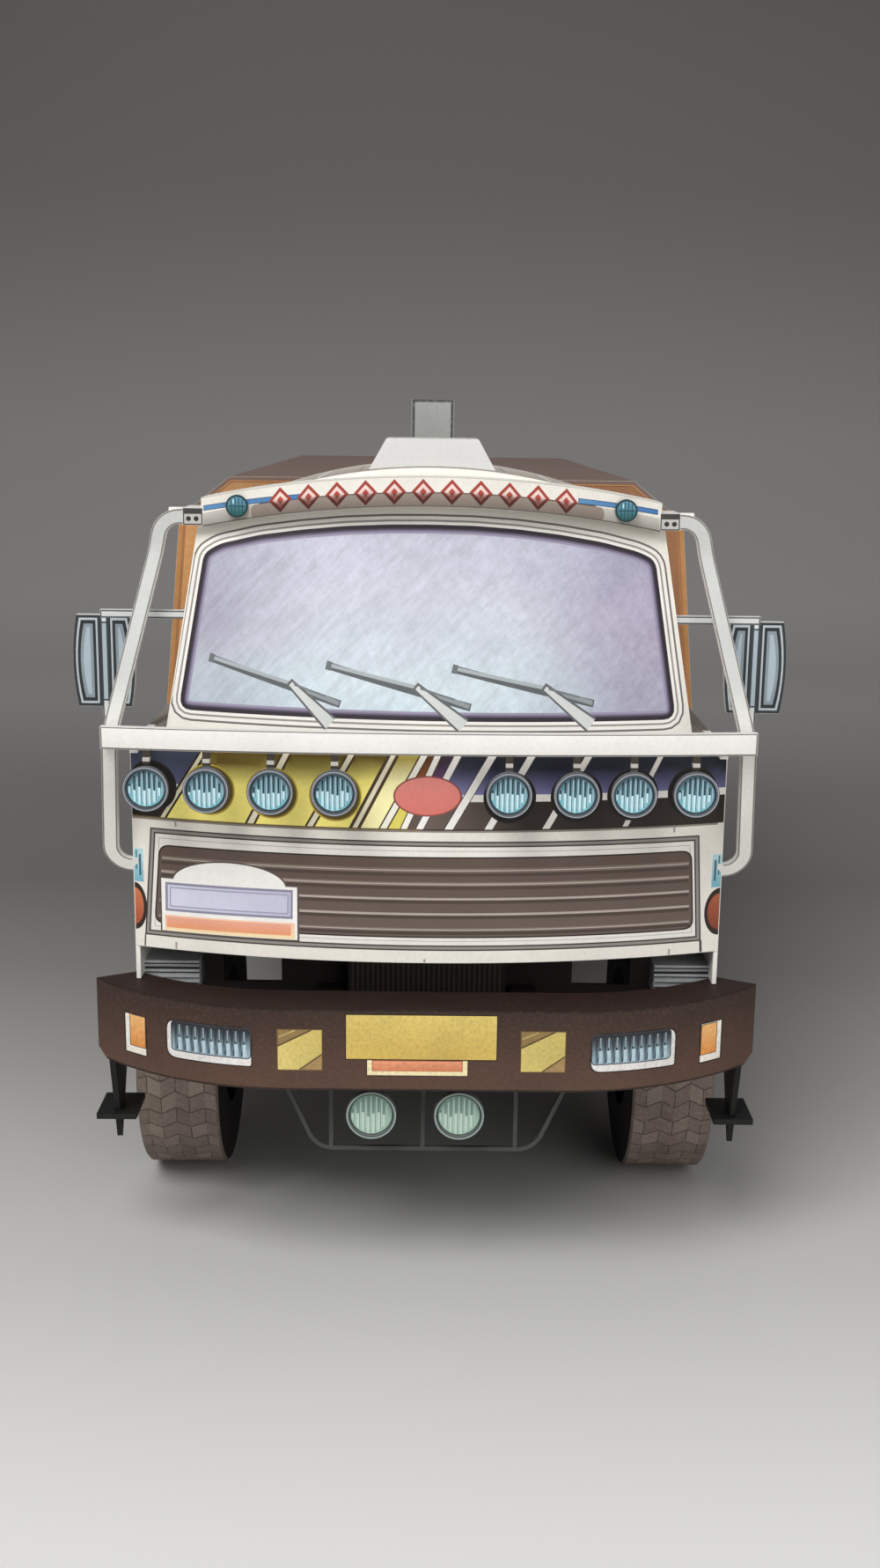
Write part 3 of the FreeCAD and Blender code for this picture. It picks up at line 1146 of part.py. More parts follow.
write_pair("front_tyre", tyre(FRONT_AXLE_Y, FRONT_TYRE_INNER_FACE, TYRE_OUTER_FACE))
write_pair("front_wheel", wheel(FRONT_AXLE_Y, FRONT_TYRE_INNER_FACE, TYRE_OUTER_FACE, FRONT_DISH))
twins = [tyre(REAR_AXLE_Y, REAR_OUTER_TYRE_INNER, TYRE_OUTER_FACE),
         tyre(REAR_AXLE_Y, REAR_INNER_TYRE_INNER, REAR_INNER_TYRE_OUTER)]
write_pair("rear_tyres", Part.makeCompound(twins))
write_pair("rear_wheel", wheel(REAR_AXLE_Y, REAR_INNER_TYRE_INNER, TYRE_OUTER_FACE, REAR_DISH))

write("bumper", bumper())
write("bumper_steps", both(bumper_step()))
write("fog_guard", fog_guard())
write("fog_lamps", Part.makeCompound([fog_lamp(BUMPER_HALF * share) for share in FOG_LAMP_PLACE_SHARES]))

write("cab_front", cab_front())
write("windscreen_panel", windscreen_panel())
write("cab_roof", cab_roof())
write("cab_back", cab_back())
write("cab_floor", cab_floor())
write_pair("cab_side", cab_side())
write("wheel_arches", both(wheel_arch()))
write("cab_steps", both(cab_step()))
write("visor", visor())
write("visor_lamps", both(visor_lamp()))
write("roof_hatch", roof_hatch())
write("intake_stack", intake_stack())

write("guard_bar", guard_bar())
write_pair("guard_loop", guard_loop())
write("guard_brackets", both(guard_bracket()))
write("driving_lamps", Part.makeCompound([driving_lamp(BAR_HALF * share) for share in LAMP_PLACE_SHARES]))
write_pair("mirror", mirror())

write("bed_floor", bed_floor())
write("bed_bearers", bed_bearers())
write_pair("drop_side", drop_side())
write("headboard", end_board(BODY_FRONT_Y))
write("tailgate", end_board(TAIL_Y - BOARD))
write("tilt_roof", tilt_roof())
write_pair("tilt_side", tilt_side())
write("tilt_front", tilt_end(BODY_FRONT_Y))
write("tilt_rear", tilt_end(TAIL_Y - CARD))
write("mudguards", both(mudguard()))
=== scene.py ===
import math
import bpy
import numpy as np
from mathutils import Euler, Matrix, Vector
from mathutils.geometry import delaunay_2d_cdt


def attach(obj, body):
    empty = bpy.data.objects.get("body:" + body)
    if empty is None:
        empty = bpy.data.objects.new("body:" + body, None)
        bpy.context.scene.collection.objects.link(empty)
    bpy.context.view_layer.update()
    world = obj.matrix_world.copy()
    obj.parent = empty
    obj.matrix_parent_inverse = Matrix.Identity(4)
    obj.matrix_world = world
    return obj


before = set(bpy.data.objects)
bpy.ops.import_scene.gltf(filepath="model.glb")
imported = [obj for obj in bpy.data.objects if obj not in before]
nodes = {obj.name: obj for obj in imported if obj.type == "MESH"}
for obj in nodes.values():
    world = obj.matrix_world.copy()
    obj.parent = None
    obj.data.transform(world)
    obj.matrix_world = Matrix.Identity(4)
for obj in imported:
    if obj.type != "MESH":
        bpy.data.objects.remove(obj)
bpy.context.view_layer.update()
scene = bpy.context.scene

# The view: a small model seen from close in front and a little above, as by someone bent over a table.
# All sizes below are millimetres in the truck's own frame and become metres where a mesh is made.
MM = 0.001
CAMERA_Y, CAMERA_Z = -271.9, 103.6
PITCH_DOWN, AIM_ASIDE, ROLL = math.radians(12.63), math.radians(0.40), math.radians(0.7)
LENS = 37.5
camera = bpy.data.objects.new("camera", bpy.data.cameras.new("camera"))
scene.collection.objects.link(camera)
camera.data.lens = LENS
camera.data.clip_start = MM
camera.location = (0, CAMERA_Y * MM, CAMERA_Z * MM)
aimed = Euler((math.pi / 2 - PITCH_DOWN, 0, -AIM_ASIDE)).to_matrix() @ Matrix.Rotation(ROLL, 3, "Z")
camera.rotation_euler = aimed.to_euler()
scene.camera = camera
scene.view_settings.view_transform = "Standard"

# The table and its backdrop: one pale grey paper sweep that rises behind the model in a wide bend.
# Matt paper, so the model keeps a soft shadow and nothing shines back at it.
SWEEP_HALF, SWEEP_FRONT, SWEEP_TOP = 1600.0, -1500.0, 1900.0
SWEEP_BEND_AT, SWEEP_BEND = 420.0, 500.0
# painted shade and light fall-off: the tone is pale in front, darkens under the model to its darkest just
# behind it, is lighter at the foot of the bend and darker again up the wall
SWEEP_PAINTED_SHADE = ((0.093, "#E6E5E2"), (0.118, "#D6D5D2"), (0.137, "#C9C8C5"), (0.171, "#B7B6B3"),
               (0.194, "#A6A5A2"), (0.232, "#8E8C89"), (0.282, "#7B7976"), (0.36, "#84827F"),
               (0.48, "#A19F9C"), (0.66, "#ADABA8"), (0.8, "#A5A3A0"), (0.85, "#9B9996"), (0.92, "#868482"))


def linear(code):
    """sRGB hex colour to linear red, green, blue and alpha: the standard piecewise power curve."""
    parts = [int(code[i:i + 2], 16) / 255 for i in (1, 3, 5)]
    return tuple(p / 12.92 if p <= 0.04045 else ((p + 0.055) / 1.055) ** 2.4 for p in parts) + (1.0,)


def add(material, kind, values={}, links={}, **settings):
    """Adds one shader node with its settings, the values of its inputs and what feeds them: a node, by its
    first output, or one output of a node."""
    made = material.node_tree.nodes.new("ShaderNode" + kind)
    for name, value in settings.items():
        setattr(made, name, value)
    for name, value in values.items():
        made.inputs[name].default_value = value
    for name, source in links.items():
        source = source.outputs[0] if isinstance(source, bpy.types.Node) else source
        material.node_tree.links.new(source, made.inputs[name])
    return made


def blank_material(name):
    """An empty node material."""
    material = bpy.data.materials.new(name)
    material.use_nodes = True
    material.node_tree.nodes.clear()
    return material


sweep_paper = blank_material("sweep_paper")
spot = add(sweep_paper, "TexCoord").outputs["Object"]
depth = add(sweep_paper, "SeparateXYZ", links={"Vector": spot}).outputs["Y"]
share = add(sweep_paper, "MapRange", {"From Min": -0.25, "From Max": 0.95}, {"Value": depth})
tone = add(sweep_paper, "ValToRGB", links={"Fac": share})
tone.color_ramp.elements[0].color = linear("#E9E8E5")
tone.color_ramp.elements[1].color = linear("#7C7A78")
for share, shade in SWEEP_PAINTED_SHADE:
    tone.color_ramp.elements.new(share).color = linear(shade)
surface = add(sweep_paper, "BsdfPrincipled", {"Roughness": 0.95, "Specular IOR Level": 0.1},
              {"Base Color": tone})
add(sweep_paper, "OutputMaterial", links={"Surface": surface})

turn = np.linspace(0, math.pi / 2, 24)
bend_end = SWEEP_BEND_AT + SWEEP_BEND
sweep_y = np.concatenate([[SWEEP_FRONT], SWEEP_BEND_AT + SWEEP_BEND * np.sin(turn), [bend_end]])
sweep_z = np.concatenate([[0.0], SWEEP_BEND * (1 - np.cos(turn)), [SWEEP_TOP]])
rows = np.stack([np.stack([np.full_like(sweep_y, x), sweep_y, sweep_z], 1)
                 for x in (-SWEEP_HALF, SWEEP_HALF)])
count = len(sweep_y)
sweep_mesh = bpy.data.meshes.new("sweep")
sweep_mesh.from_pydata((rows.reshape(-1, 3) * MM).tolist(), [],
                       [(i, i + count, i + count + 1, i + 1) for i in range(count - 1)])
sweep_mesh.polygons.foreach_set("use_smooth", [True] * len(sweep_mesh.polygons))
sweep = bpy.data.objects.new("sweep", sweep_mesh)
scene.collection.objects.link(sweep)
sweep_mesh.materials.append(sweep_paper)

# The light: a soft window-like lamp high on the left in front, a weaker one on the right and a pale room.
# The lamps are set so that white card comes out just under white. Each has its place, size and power.
LAMPS = {"key": ((-240, -500, 640), 420, 4.8), "fill": ((340, -600, 330), 560, 1.6),
         "back": ((60, 640, 700), 700, 0.5)}
LIT_HEIGHT = 50
for name, (place, size, power) in LAMPS.items():
    lamp = bpy.data.objects.new(name, bpy.data.lights.new(name, "AREA"))
    lamp.data.size = size * MM
    lamp.data.energy = power
    lamp.location = [value * MM for value in place]
    toward = Vector((0, 0, LIT_HEIGHT * MM)) - lamp.location
    lamp.rotation_euler = toward.to_track_quat("-Z", "Y").to_euler()
    scene.collection.objects.link(lamp)
world = bpy.data.worlds.new("room")
scene.world = world
world.use_nodes = True
room = world.node_tree.nodes["Background"].inputs
room["Color"].default_value = linear("#E8E9EC")
room["Strength"].default_value = 0.2


# Card stock: uncoated 220 g board, ink-jet printed and lightly varnished, or left white where it was cut. The
# eye sees a fine fibre grain, a faint unevenness of the ink and a dull sheen that breaks up along the sheet.
# Real fibres are some 0.02 mm wide: their grain is drawn as coarse as it needs to show. Sizes are in mm.
FIBRE, CLOUD, PENCIL, FLECK = 0.45, 6.0, 0.9, 0.4
GRAIN_DEPTH, WARP_DEPTH, CARD_IOR = 0.04, 0.12, 1.47


def card(name, ink=None, grain=0.05, cloud=0.05, rough=0.62, speckle=None, speckle_size=FLECK,
         speckle_share=0.4, streak=0.0):
    """Card surface. Ink is a colour, or None for the piece's own ink attribute. Its value is multiplied by
    one plus fibre noise times grain, by one plus broad noise times cloud, and by one plus slanted pencil
    noise times streak. Speckle lays flecks of a second colour."""
    material = blank_material(name)
    spot = add(material, "TexCoord").outputs["Object"]
    if ink is None:
        tint = add(material, "Attribute", attribute_name="ink").outputs["Color"]
    else:
        tint = add(material, "RGB").outputs[0]
        tint.default_value = linear(ink)
    if speckle:
        fleck = add(material, "TexNoise", {"Scale": 1 / (speckle_size * MM), "Detail": 2.0, "Roughness": 0.6},
                    {"Vector": spot})
        share = add(material, "MapRange", {"From Min": 0.52, "From Max": 0.66, "To Max": speckle_share},
                    {"Value": fleck})
        tint = add(material, "Mix", {7: linear(speckle)}, {0: share, 6: tint}, data_type="RGBA").outputs[2]
    fibre = add(material, "TexNoise", {"Scale": 1 / (FIBRE * MM), "Detail": 3.0, "Roughness": 0.65},
                {"Vector": spot})
    broad = add(material, "TexNoise", {"Scale": 1 / (CLOUD * MM), "Detail": 2.0}, {"Vector": spot})
    fine, wide = [add(material, "MapRange",
                      {"From Min": 0.25, "From Max": 0.75, "To Min": 1 - swing, "To Max": 1 + swing},
                      {"Value": noise}) for noise, swing in ((fibre, grain), (broad, cloud))]
    value = add(material, "Math", links={0: fine, 1: wide}, operation="MULTIPLY")
    if streak:
        slanted = add(material, "Mapping", {"Rotation": (0, math.radians(52), 0), "Scale": (1, 1, 0.08)},
                      {"Vector": spot})
        stroke = add(material, "TexNoise", {"Scale": 1 / (PENCIL * MM), "Detail": 4.0, "Roughness": 0.7},
                     {"Vector": slanted})
        pencil = add(material, "MapRange",
                     {"From Min": 0.3, "From Max": 0.7, "To Min": 1 - streak, "To Max": 1 + streak},
                     {"Value": stroke})
        value = add(material, "Math", links={0: value, 1: pencil}, operation="MULTIPLY")
    inked = add(material, "HueSaturation", links={"Color": tint, "Value": value})
    dull = add(material, "MapRange", {"To Min": rough - 0.08, "To Max": rough + 0.1}, {"Value": fibre})
    bump = add(material, "Bump", {"Strength": 0.35, "Distance": GRAIN_DEPTH * MM}, {"Height": fibre})
    warp = add(material, "Bump", {"Strength": 0.5, "Distance": WARP_DEPTH * MM},
               {"Height": broad, "Normal": bump})
    surface = add(material, "BsdfPrincipled", {"IOR": CARD_IOR, "Specular IOR Level": 0.4},
                  {"Base Color": inked, "Roughness": dull, "Normal": warp})
    add(material, "OutputMaterial", links={"Surface": surface})
    return material


def dress(material, *names):
    """Gives CAD nodes a material in every slot they have."""
    for name in names:
        mesh = nodes[name].data
        if not mesh.materials:
            mesh.materials.append(material)
        for index in range(len(mesh.materials)):
            mesh.materials[index] = material


white_card = card("white_cut_card", "#EAE7DF", grain=0.04, cloud=0.03)
printed = card("printed_card", None, grain=0.05, cloud=0.04)


# Printed sheets: each visible print is a thin paper glued on its card face, cut from one printed page.
# Its drawing is a list of flat shapes in sheet millimetres, painted in order, the last one on top.
PAPER_LIFT, PAPER_SINK = 0.035, 0.06
PAPER_EDGE = "#DAD5CB"
CLEAR = "clear"
NUDGE = 0.01


def print_sheet(name, place, drawing, body="root", material=printed, pitch=1.5, lift=PAPER_LIFT,
                edge=PAPER_EDGE):
    """A printed paper on a card face. The shapes are cut against each other and a net of inner points by
    constrained Delaunay triangulation; the first shape bounds the sheet and the last one that holds a
    triangle gives its ink: one colour, CLEAR, or two colours and the two points between which they blend.
    place carries (u, v) to the face; the two sides of the paper stand lift above and a little below it along
    the normal, which is the cross product of the face's two directions."""
    points, loops, inks = [], [], []
    for shape, ink in drawing:
        shape = np.asarray(shape, float)
        ahead = np.roll(shape, -1, 0)
        if (shape[:, 0] * ahead[:, 1] - shape[:, 1] * ahead[:, 0]).sum() < 0:
            shape = shape[::-1]
        start = len(points)
        for a, b in zip(shape, np.roll(shape, -1, 0)):
            steps = max(1, math.ceil(np.hypot(*(b - a)) / pitch))
            points.extend((a + (b - a) * (np.arange(steps) / steps)[:, None]).tolist())
        loops.append(list(range(start, len(points))))
        inks.append(ink)
    low, high = np.min(points, 0), np.max(points, 0)
    net = np.stack(np.meshgrid(np.arange(low[0] + pitch / 2, high[0], pitch),
                               np.arange(low[1] + pitch / 2, high[1], pitch)), -1).reshape(-1, 2)
    flat, _, faces, _, _, owners = delaunay_2d_cdt(points + net.tolist(), [], loops, 1, 1e-5)
    flat = np.array([tuple(p) for p in flat])
    kept = [(face, max(owner)) for face, owner in zip(faces, owners) if 0 in owner]
    owner = np.array([top for _, top in kept])
    used, triangles = np.unique(np.array([face for face, _ in kept]), return_inverse=True)
    triangles = triangles.reshape(-1, 3)
    flat = flat[used]
    u, v = flat[:, 0], flat[:, 1]
    here = place(u, v)
    normal = np.cross(place(u + NUDGE, v) - place(u - NUDGE, v), place(u, v + NUDGE) - place(u, v - NUDGE))
    normal /= np.linalg.norm(normal, axis=1)[:, None]
    corners = np.concatenate([here + normal * lift, here - normal * PAPER_SINK]) * MM
    total = len(flat)
    edges = np.concatenate([triangles[:, [0, 1]], triangles[:, [1, 2]], triangles[:, [2, 0]]])
    keys = edges[:, 0] * total + edges[:, 1]
    rim = edges[~np.isin(keys, edges[:, 1] * total + edges[:, 0])]
    walls = np.stack([rim[:, 0], rim[:, 0] + total, rim[:, 1] + total, rim[:, 1]], 1)
    mesh = bpy.data.meshes.new(name)
    mesh.from_pydata(corners.tolist(), [],
                     triangles.tolist() + (triangles[:, ::-1] + total).tolist() + walls.tolist())
    colours = np.tile(np.array(linear(edge)), (len(triangles) * 6 + len(walls) * 4, 1))
    spots = flat[triangles.ravel()]
    whose = np.repeat(owner, 3)
    for index, ink in enumerate(inks):
        mine = whose == index
        if ink == CLEAR:
            tint = 0.0
        elif isinstance(ink, str):
            tint = linear(ink)
        else:
            first, last, start, end = ink
            way = np.subtract(end, start)
            share = np.clip((spots[mine] - np.array(start)) @ way / (way @ way), 0, 1)[:, None]
            tint = np.array(linear(first)) * (1 - share) + np.array(linear(last)) * share
        colours[:len(spots)][mine] = tint
    layer = mesh.color_attributes.new("ink", "FLOAT_COLOR", "CORNER")
    layer.data.foreach_set("color", colours.astype(np.float32).ravel())
    mesh.materials.append(material)
    sheet = bpy.data.objects.new(name, mesh)
    scene.collection.objects.link(sheet)
    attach(sheet, body)
    return sheet


# Chassis: two folded channel rails with cross boxes, bed runners and bearers, all dark-brown printed card.
# Springs and axle tubes are rolled or stacked strips of the same sheet, glued on; the rods are bare steel
# wire.
# the dark-brown print is deepened to near black: painted shade for the deep shade under the truck
frame_card = card("brown_black_card_with_painted_shade", "#1D1613", grain=0.14, cloud=0.14, speckle="#2C221D",
                  rough=0.66)
dress(frame_card, "frame_rails", "crossmembers", "bed_runners", "bed_bearers", "leaf_springs",
      "front_axle_tube", "rear_axle_tube", "propeller_shaft", "rear_underrun", "tow_coupling", "front_panel")

# drawn steel wire: scratches along the rod, some 0.1 mm apart, break its bright sheen into streaks
steel_wire = blank_material("drawn_steel_wire")
spot = add(steel_wire, "TexCoord").outputs["Object"]
drawn = add(steel_wire, "Mapping", {"Scale": (0.05, 1, 1)}, {"Vector": spot})
lines = add(steel_wire, "TexNoise", {"Scale": 9000.0, "Detail": 2.0}, {"Vector": drawn})
sheen = add(steel_wire, "MapRange", {"To Min": 0.25, "To Max": 0.5}, {"Value": lines})
grey = add(steel_wire, "ValToRGB", links={"Fac": lines})
grey.color_ramp.elements[0].color = linear("#8E8C88")
grey.color_ramp.elements[1].color = linear("#C4C1BB")
surface = add(steel_wire, "BsdfPrincipled", {"Metallic": 1.0}, {"Base Color": grey, "Roughness": sheen})
add(steel_wire, "OutputMaterial", links={"Surface": surface})
dress(steel_wire, "axle_rods")

# Radiator and engine: closed card boxes. The radiator's face is printed with close upright ribs.
# The engine is plain grey board with a dark printed top, hardly seen behind the bumper.
radiator_card = card("near_black_printed_card", "#211B18", grain=0.15, cloud=0.15, speckle="#3A2F2A")
dress(radiator_card, "radiator")
RADIATOR_HALF, RADIATOR_Y, RIB_PITCH = 9.6, -82.2, 0.62


def upright(y, way=1, x=0.0, z=0.0):
    """Flat face across the truck at depth y: u runs to the right for someone who faces it, counted from x,
    and v upwards from z. way is 1 where the face looks forward and -1 where it looks back."""
    return lambda u, v: np.stack([way * u + x, np.full_like(u, y), v + z], 1)


def block(x0, z0, x1, z1):
    """Upright rectangle."""
    return [(x0, z0), (x1, z0), (x1, z1), (x0, z1)]


drawing = [(block(-RADIATOR_HALF, 27.1, RADIATOR_HALF, 40.4), "#1A1512")]
drawing += [(block(x, 27.6, x + 0.28, 39.9), "#3B302A")
            for x in np.arange(-RADIATOR_HALF + 0.4, RADIATOR_HALF - 0.5, RIB_PITCH)]
print_sheet("radiator_print", upright(RADIATOR_Y), drawing, pitch=4.0)
# the engine's grey board and dark top are all inked near black: painted shade for the deep shade under the
# cab
engine_card = card("engine_board_with_painted_shade", "#242322", grain=0.1, cloud=0.12, speckle="#1B1A19")
dress(engine_card, "engine_block")

# Fuel tank and tool box: folded card boxes hung on the rails. The tank is printed light grey with two dark
# straps and a filler cap; the box is printed dark, with two lids and their hasps.
tank_card = card("light_grey_printed_card", "#9A9C9C", grain=0.05, cloud=0.08)
box_card = card("dark_printed_card", "#3B3533", grain=0.1, cloud=0.1, speckle="#504945")
dress(tank_card, "fuel_tank")
dress(box_card, "tool_box")
BOX_Y0, BOX_Y1, BOX_Z0, BOX_Z1, BOX_X = -27.19, 6.74, 21.0, 34.0, 34.0
TANK_ROUND = 2.4
# bare card between a print and the edges of its face
MARGIN = 0.05


def flank(x, hand, y=0.0):
    """Flat face along the truck at x: u runs to the right for someone who faces it, counted from y, and v is
    the height. hand is 1 where the face looks to +X and -1 where it looks to -X."""
    return lambda u, v: np.stack([np.full_like(u, x), hand * u + y, v], 1)


def oval(x, z, rx, rz, corners=28):
    """Ellipse: centre plus radii times cosine and sine."""
    turn = np.arange(corners) * 2 * math.pi / corners
    return np.stack([x + rx * np.cos(turn), z + rz * np.sin(turn)], 1)


def rounded(points, radius, steps=5):
    """Outline with each corner replaced by a quadratic Bezier curve whose ends lie radius away from it."""
    points = np.asarray(points, float)
    radius = np.broadcast_to(radius, len(points))
    out = []
    t = np.linspace(0, 1, steps + 1)[:, None]
    for before, corner, after, reach in zip(np.roll(points, 1, 0), points, np.roll(points, -1, 0), radius):
        a = corner + (before - corner) * (reach / np.hypot(*(before - corner)))
        b = corner + (after - corner) * (reach / np.hypot(*(after - corner)))
        out.append(a * (1 - t) ** 2 + 2 * corner * t * (1 - t) + b * t ** 2)
    return np.concatenate(out)


z0, z1 = BOX_Z0 + TANK_ROUND, BOX_Z1 - TANK_ROUND
drawing = [(block(-BOX_Y1 + MARGIN, z0, -BOX_Y0 - MARGIN, z1),
            ("#8F9293", "#B5B8B8", (0, BOX_Z0), (0, BOX_Z1)))]
for y in (-1.5, 21.0):
    drawing += [(block(y - 0.15, z0, y + 2.15, z1), "#33302F"), (block(y + 0.1, z0, y + 1.9, z1), "#6E6F6F")]
drawing += [(oval(8.5, 30.4, 1.5, 1.2), "#4A4848"), (oval(8.5, 30.4, 1.15, 0.9), "#A7A9A9")]
print_sheet("fuel_tank_print", flank(-BOX_X, -1), drawing, pitch=4.0)
drawing = [(block(BOX_Y0 + MARGIN, BOX_Z0 + MARGIN, BOX_Y1 - MARGIN, BOX_Z1 - MARGIN), "#3E3835")]
for y0, y1 in ((BOX_Y0 + 1.2, BOX_Y0 + 16.0), (BOX_Y0 + 18.0, BOX_Y1 - 1.2)):
    middle = (y0 + y1) / 2
    drawing += [(rounded(block(y0, BOX_Z0 + 1.2, y1, BOX_Z1 - 1.2), 0.8), "#1D1917"),
                (rounded(block(y0 + 0.25, BOX_Z0 + 1.45, y1 - 0.25, BOX_Z1 - 1.45), 0.7), "#4A423E"),
                (block(middle - 1.2, BOX_Z1 - 4.2, middle + 1.2, BOX_Z1 - 2.8), "#8A8078")]
print_sheet("tool_box_print", flank(BOX_X, 1), drawing, pitch=4.0)

# Rear end: lamp boards of printed card under the tail, each with a red, an amber and a clear field.
# The underrun beam carries slanted red bars on white, as such beams do.
lamp_board_card = card("brown_lamp_board_card", "#3E3230", grain=0.1, cloud=0.1)
dress(lamp_board_card, "lamp_boards")
HANDS = ((1, "right"), (-1, "left"))
BOARD_Y, BOARD_Z0, BOARD_Z1, BOARD_X0, BOARD_X1 = 93.1, 33.5, 39.5, 23.0, 36.4
for hand, side in HANDS:
    left, right = sorted((-hand * BOARD_X0, -hand * BOARD_X1))
    drawing = [(block(left, BOARD_Z0, right, BOARD_Z1), "#42352F")]
    for share, tint in ((0.2, "#E0A03C"), (0.5, "#C23A2E"), (0.8, "#DAD6CC")):
        x = -hand * (BOARD_X0 + (BOARD_X1 - BOARD_X0) * (1.02 - share))
        drawing += [(rounded(block(x - 1.9, 34.6, x + 1.9, 38.5), 0.5), "#1C1513"),
                    (rounded(block(x - 1.6, 34.9, x + 1.6, 38.2), 0.4), tint)]
        drawing += [(block(x - 1.3 + k * 0.6, 35.2, x - 1.15 + k * 0.6, 37.9), "#8C5A44") for k in range(5)]
    print_sheet("rear_lamps_print_" + side, upright(BOARD_Y, -1), drawing, pitch=4.0)
BEAM_Y, BEAM_HALF, BEAM_Z0, BEAM_Z1, BAR_PITCH = 87.5, 35.0, 17.4, 20.8, 6.0
z0, z1 = BEAM_Z0 + MARGIN, BEAM_Z1 - MARGIN
drawing = [(block(-BEAM_HALF + MARGIN, z0, BEAM_HALF - MARGIN, z1), "#E2DDD2")]
drawing += [([(x, z0), (x + 2.6, z0), (x + 4.6, z1), (x + 2.0, z1)], "#B23A2D")
            for x in np.arange(-BEAM_HALF + 1.0, BEAM_HALF - 5.0, BAR_PITCH)]
print_sheet("underrun_print", upright(BEAM_Y, -1), drawing, pitch=5.0)

# Tyres: rolled card drums with flat cut shoulders. A grey-brown strip printed with outlined tread blocks runs
# round each; the side discs are black-brown.
TYRE_R, SHOULDER, AXLE_Z, ROW = 18.0, 0.3, 18.0, 2.45
AXLES = {"front": -52.2, "rear": 49.8}
TREADS = (("front", "front_tread", 27.5, 38.2), ("rear", "rear_outer_tread", 29.6, 38.2),
          ("rear", "rear_inner_tread", 19.0, 27.6))
tyre_card = card("dark_tyre_card", "#1B1614", grain=0.12, cloud=0.1, rough=0.7)
tread_card = card("printed_tread_card", None, grain=0.1, cloud=0.14, speckle="#A09389", speckle_share=0.3)
dress(tyre_card, "front_tyre_right", "front_tyre_left", "rear_tyres_right", "rear_tyres_left")
CUT = SHOULDER * math.sqrt(2)


def bar(a, b, width, width_b=None):
    """Straight stroke from a to b as a four-cornered shape, of one width or narrowing to a second."""
    a, b = np.array(a, float), np.array(b, float)
    side = np.array([a[1] - b[1], b[0] - a[0]]) / np.hypot(*(b - a)) / 2
    end = side * (width if width_b is None else width_b)
    return [a - side * width, b - end, b + end, a + side * width]


def tread_drawing(width):
    """Rows of blocks round the drum: u is the way along the tread, v the way across its profile. Each row
    line is a zigzag over the width; short ties join the rows at every other bend, so that the blocks of one
    row stand half a block beside those of the next. A plain strip covers each cut shoulder."""
    high = width - 2 * SHOULDER + 2 * CUT
    girth = 2 * math.pi * TYRE_R
    count = round(girth / ROW)
    step = girth / count
    end = girth - 0.001
    drawing = [(block(0.0, 0.0, end, high), "#7A6B62")]
    bends = np.array([0.0, 0.17, 0.36, 0.52, 0.7, 0.86, 1.0]) * high
    shift = np.array([0.1, 0.38, 0.02, 0.42, -0.05, 0.3, 0.12]) * step
    for k in range(count - 1):
        start = (k + 0.45) * step
        for index in range(k % 3, 6, 3):
            low, top, a, b = bends[index], bends[index + 1], shift[index], shift[index + 1]
            drawing.append(([(start + a, low), (start + b, top), (start + b + step, top),
                             (start + a + step, low)],
                            ("#85776D", "#706258", "#8A7C72")[(k + index) % 3]))
    for k in range(count):
        line = np.stack([(k + 0.45) * step + shift, bends], 1)
        drawing += [(bar(a, b, 0.16), "#473B33") for a, b in zip(line[:-1], line[1:])]
        drawing += [(bar(a, (min(a[0] + step, girth), a[1]), 0.14), "#4D4139") for a in line[1 + k % 2:6:2]]
    drawing = [(np.clip(shape, (0.0, 0.0), (end, high)), ink) for shape, ink in drawing]
    return drawing + [(block(0.0, 0.0, end, CUT), "#6B5F56"), (block(0.0, high - CUT, end, high), "#6B5F56")]


def tread_place(axle_y, inner, outer, hand):
    """Drum face: u is the arc length from the floor point, v runs from the inner to the outer edge over both
    cut shoulders, whose radius falls as the width does."""
    high = (outer - inner) - 2 * SHOULDER + 2 * CUT
    stops = [0, CUT, high - CUT, high]

    def place(u, v):
        v = np.clip(v, 0, high)
        x = np.interp(v, stops, [inner, inner + SHOULDER, outer - SHOULDER, outer])
        radius = np.interp(v, stops, [TYRE_R - SHOULDER, TYRE_R, TYRE_R, TYRE_R - SHOULDER])
        angle = hand * u / TYRE_R
        return np.stack([hand * x, axle_y + radius * np.sin(angle), AXLE_Z - radius * np.cos(angle)], 1)
    return place


for hand, side in HANDS:
    for end, label, inner, outer in TREADS:
        drawing = tread_drawing(outer - inner)
        print_sheet(f"{label}_{side}", tread_place(AXLES[end], inner, outer, hand), drawing,
                    f"{end}_wheel_body_{side}", material=tread_card, pitch=1.0, lift=0.03)

# Wheel faces: rolled rims closed by a disc printed in light grey with bolt heads and hand holes.
# The rear discs sit deep in their rims, the front ones near the edge.
rim_card = card("light_grey_rim_card", "#9D9A95", grain=0.06, cloud=0.08)
RIM_INSIDE, WEBS = 9.9, (("front", 35.8), ("rear", 32.2))


def ink_of(material):
    """The input that a card's colour comes in by, and the output that feeds it."""
    taken = next(n for n in material.node_tree.nodes
                 if n.bl_idname == "ShaderNodeHueSaturation").inputs["Color"]
    return taken, taken.links[0].from_socket


# the rims are light grey on their outer side and unprinted, near black, inside
spot = add(rim_card, "TexCoord").outputs["Object"]
aside = add(rim_card, "SeparateXYZ", links={"Vector": spot}).outputs["X"]
from_middle = add(rim_card, "Math", links={0: aside}, operation="ABSOLUTE")
outer_side = add(rim_card, "MapRange", {"From Min": 31.0 * MM, "From Max": 31.4 * MM}, {"Value": from_middle})
taken, ink = ink_of(rim_card)
two_sided = add(rim_card, "Mix", {6: linear("#1E1B19")}, {0: outer_side, 7: ink}, data_type="RGBA")
rim_card.node_tree.links.new(two_sided.outputs[2], taken)
dress(rim_card, "front_wheel_right", "front_wheel_left", "rear_wheel_right", "rear_wheel_left")


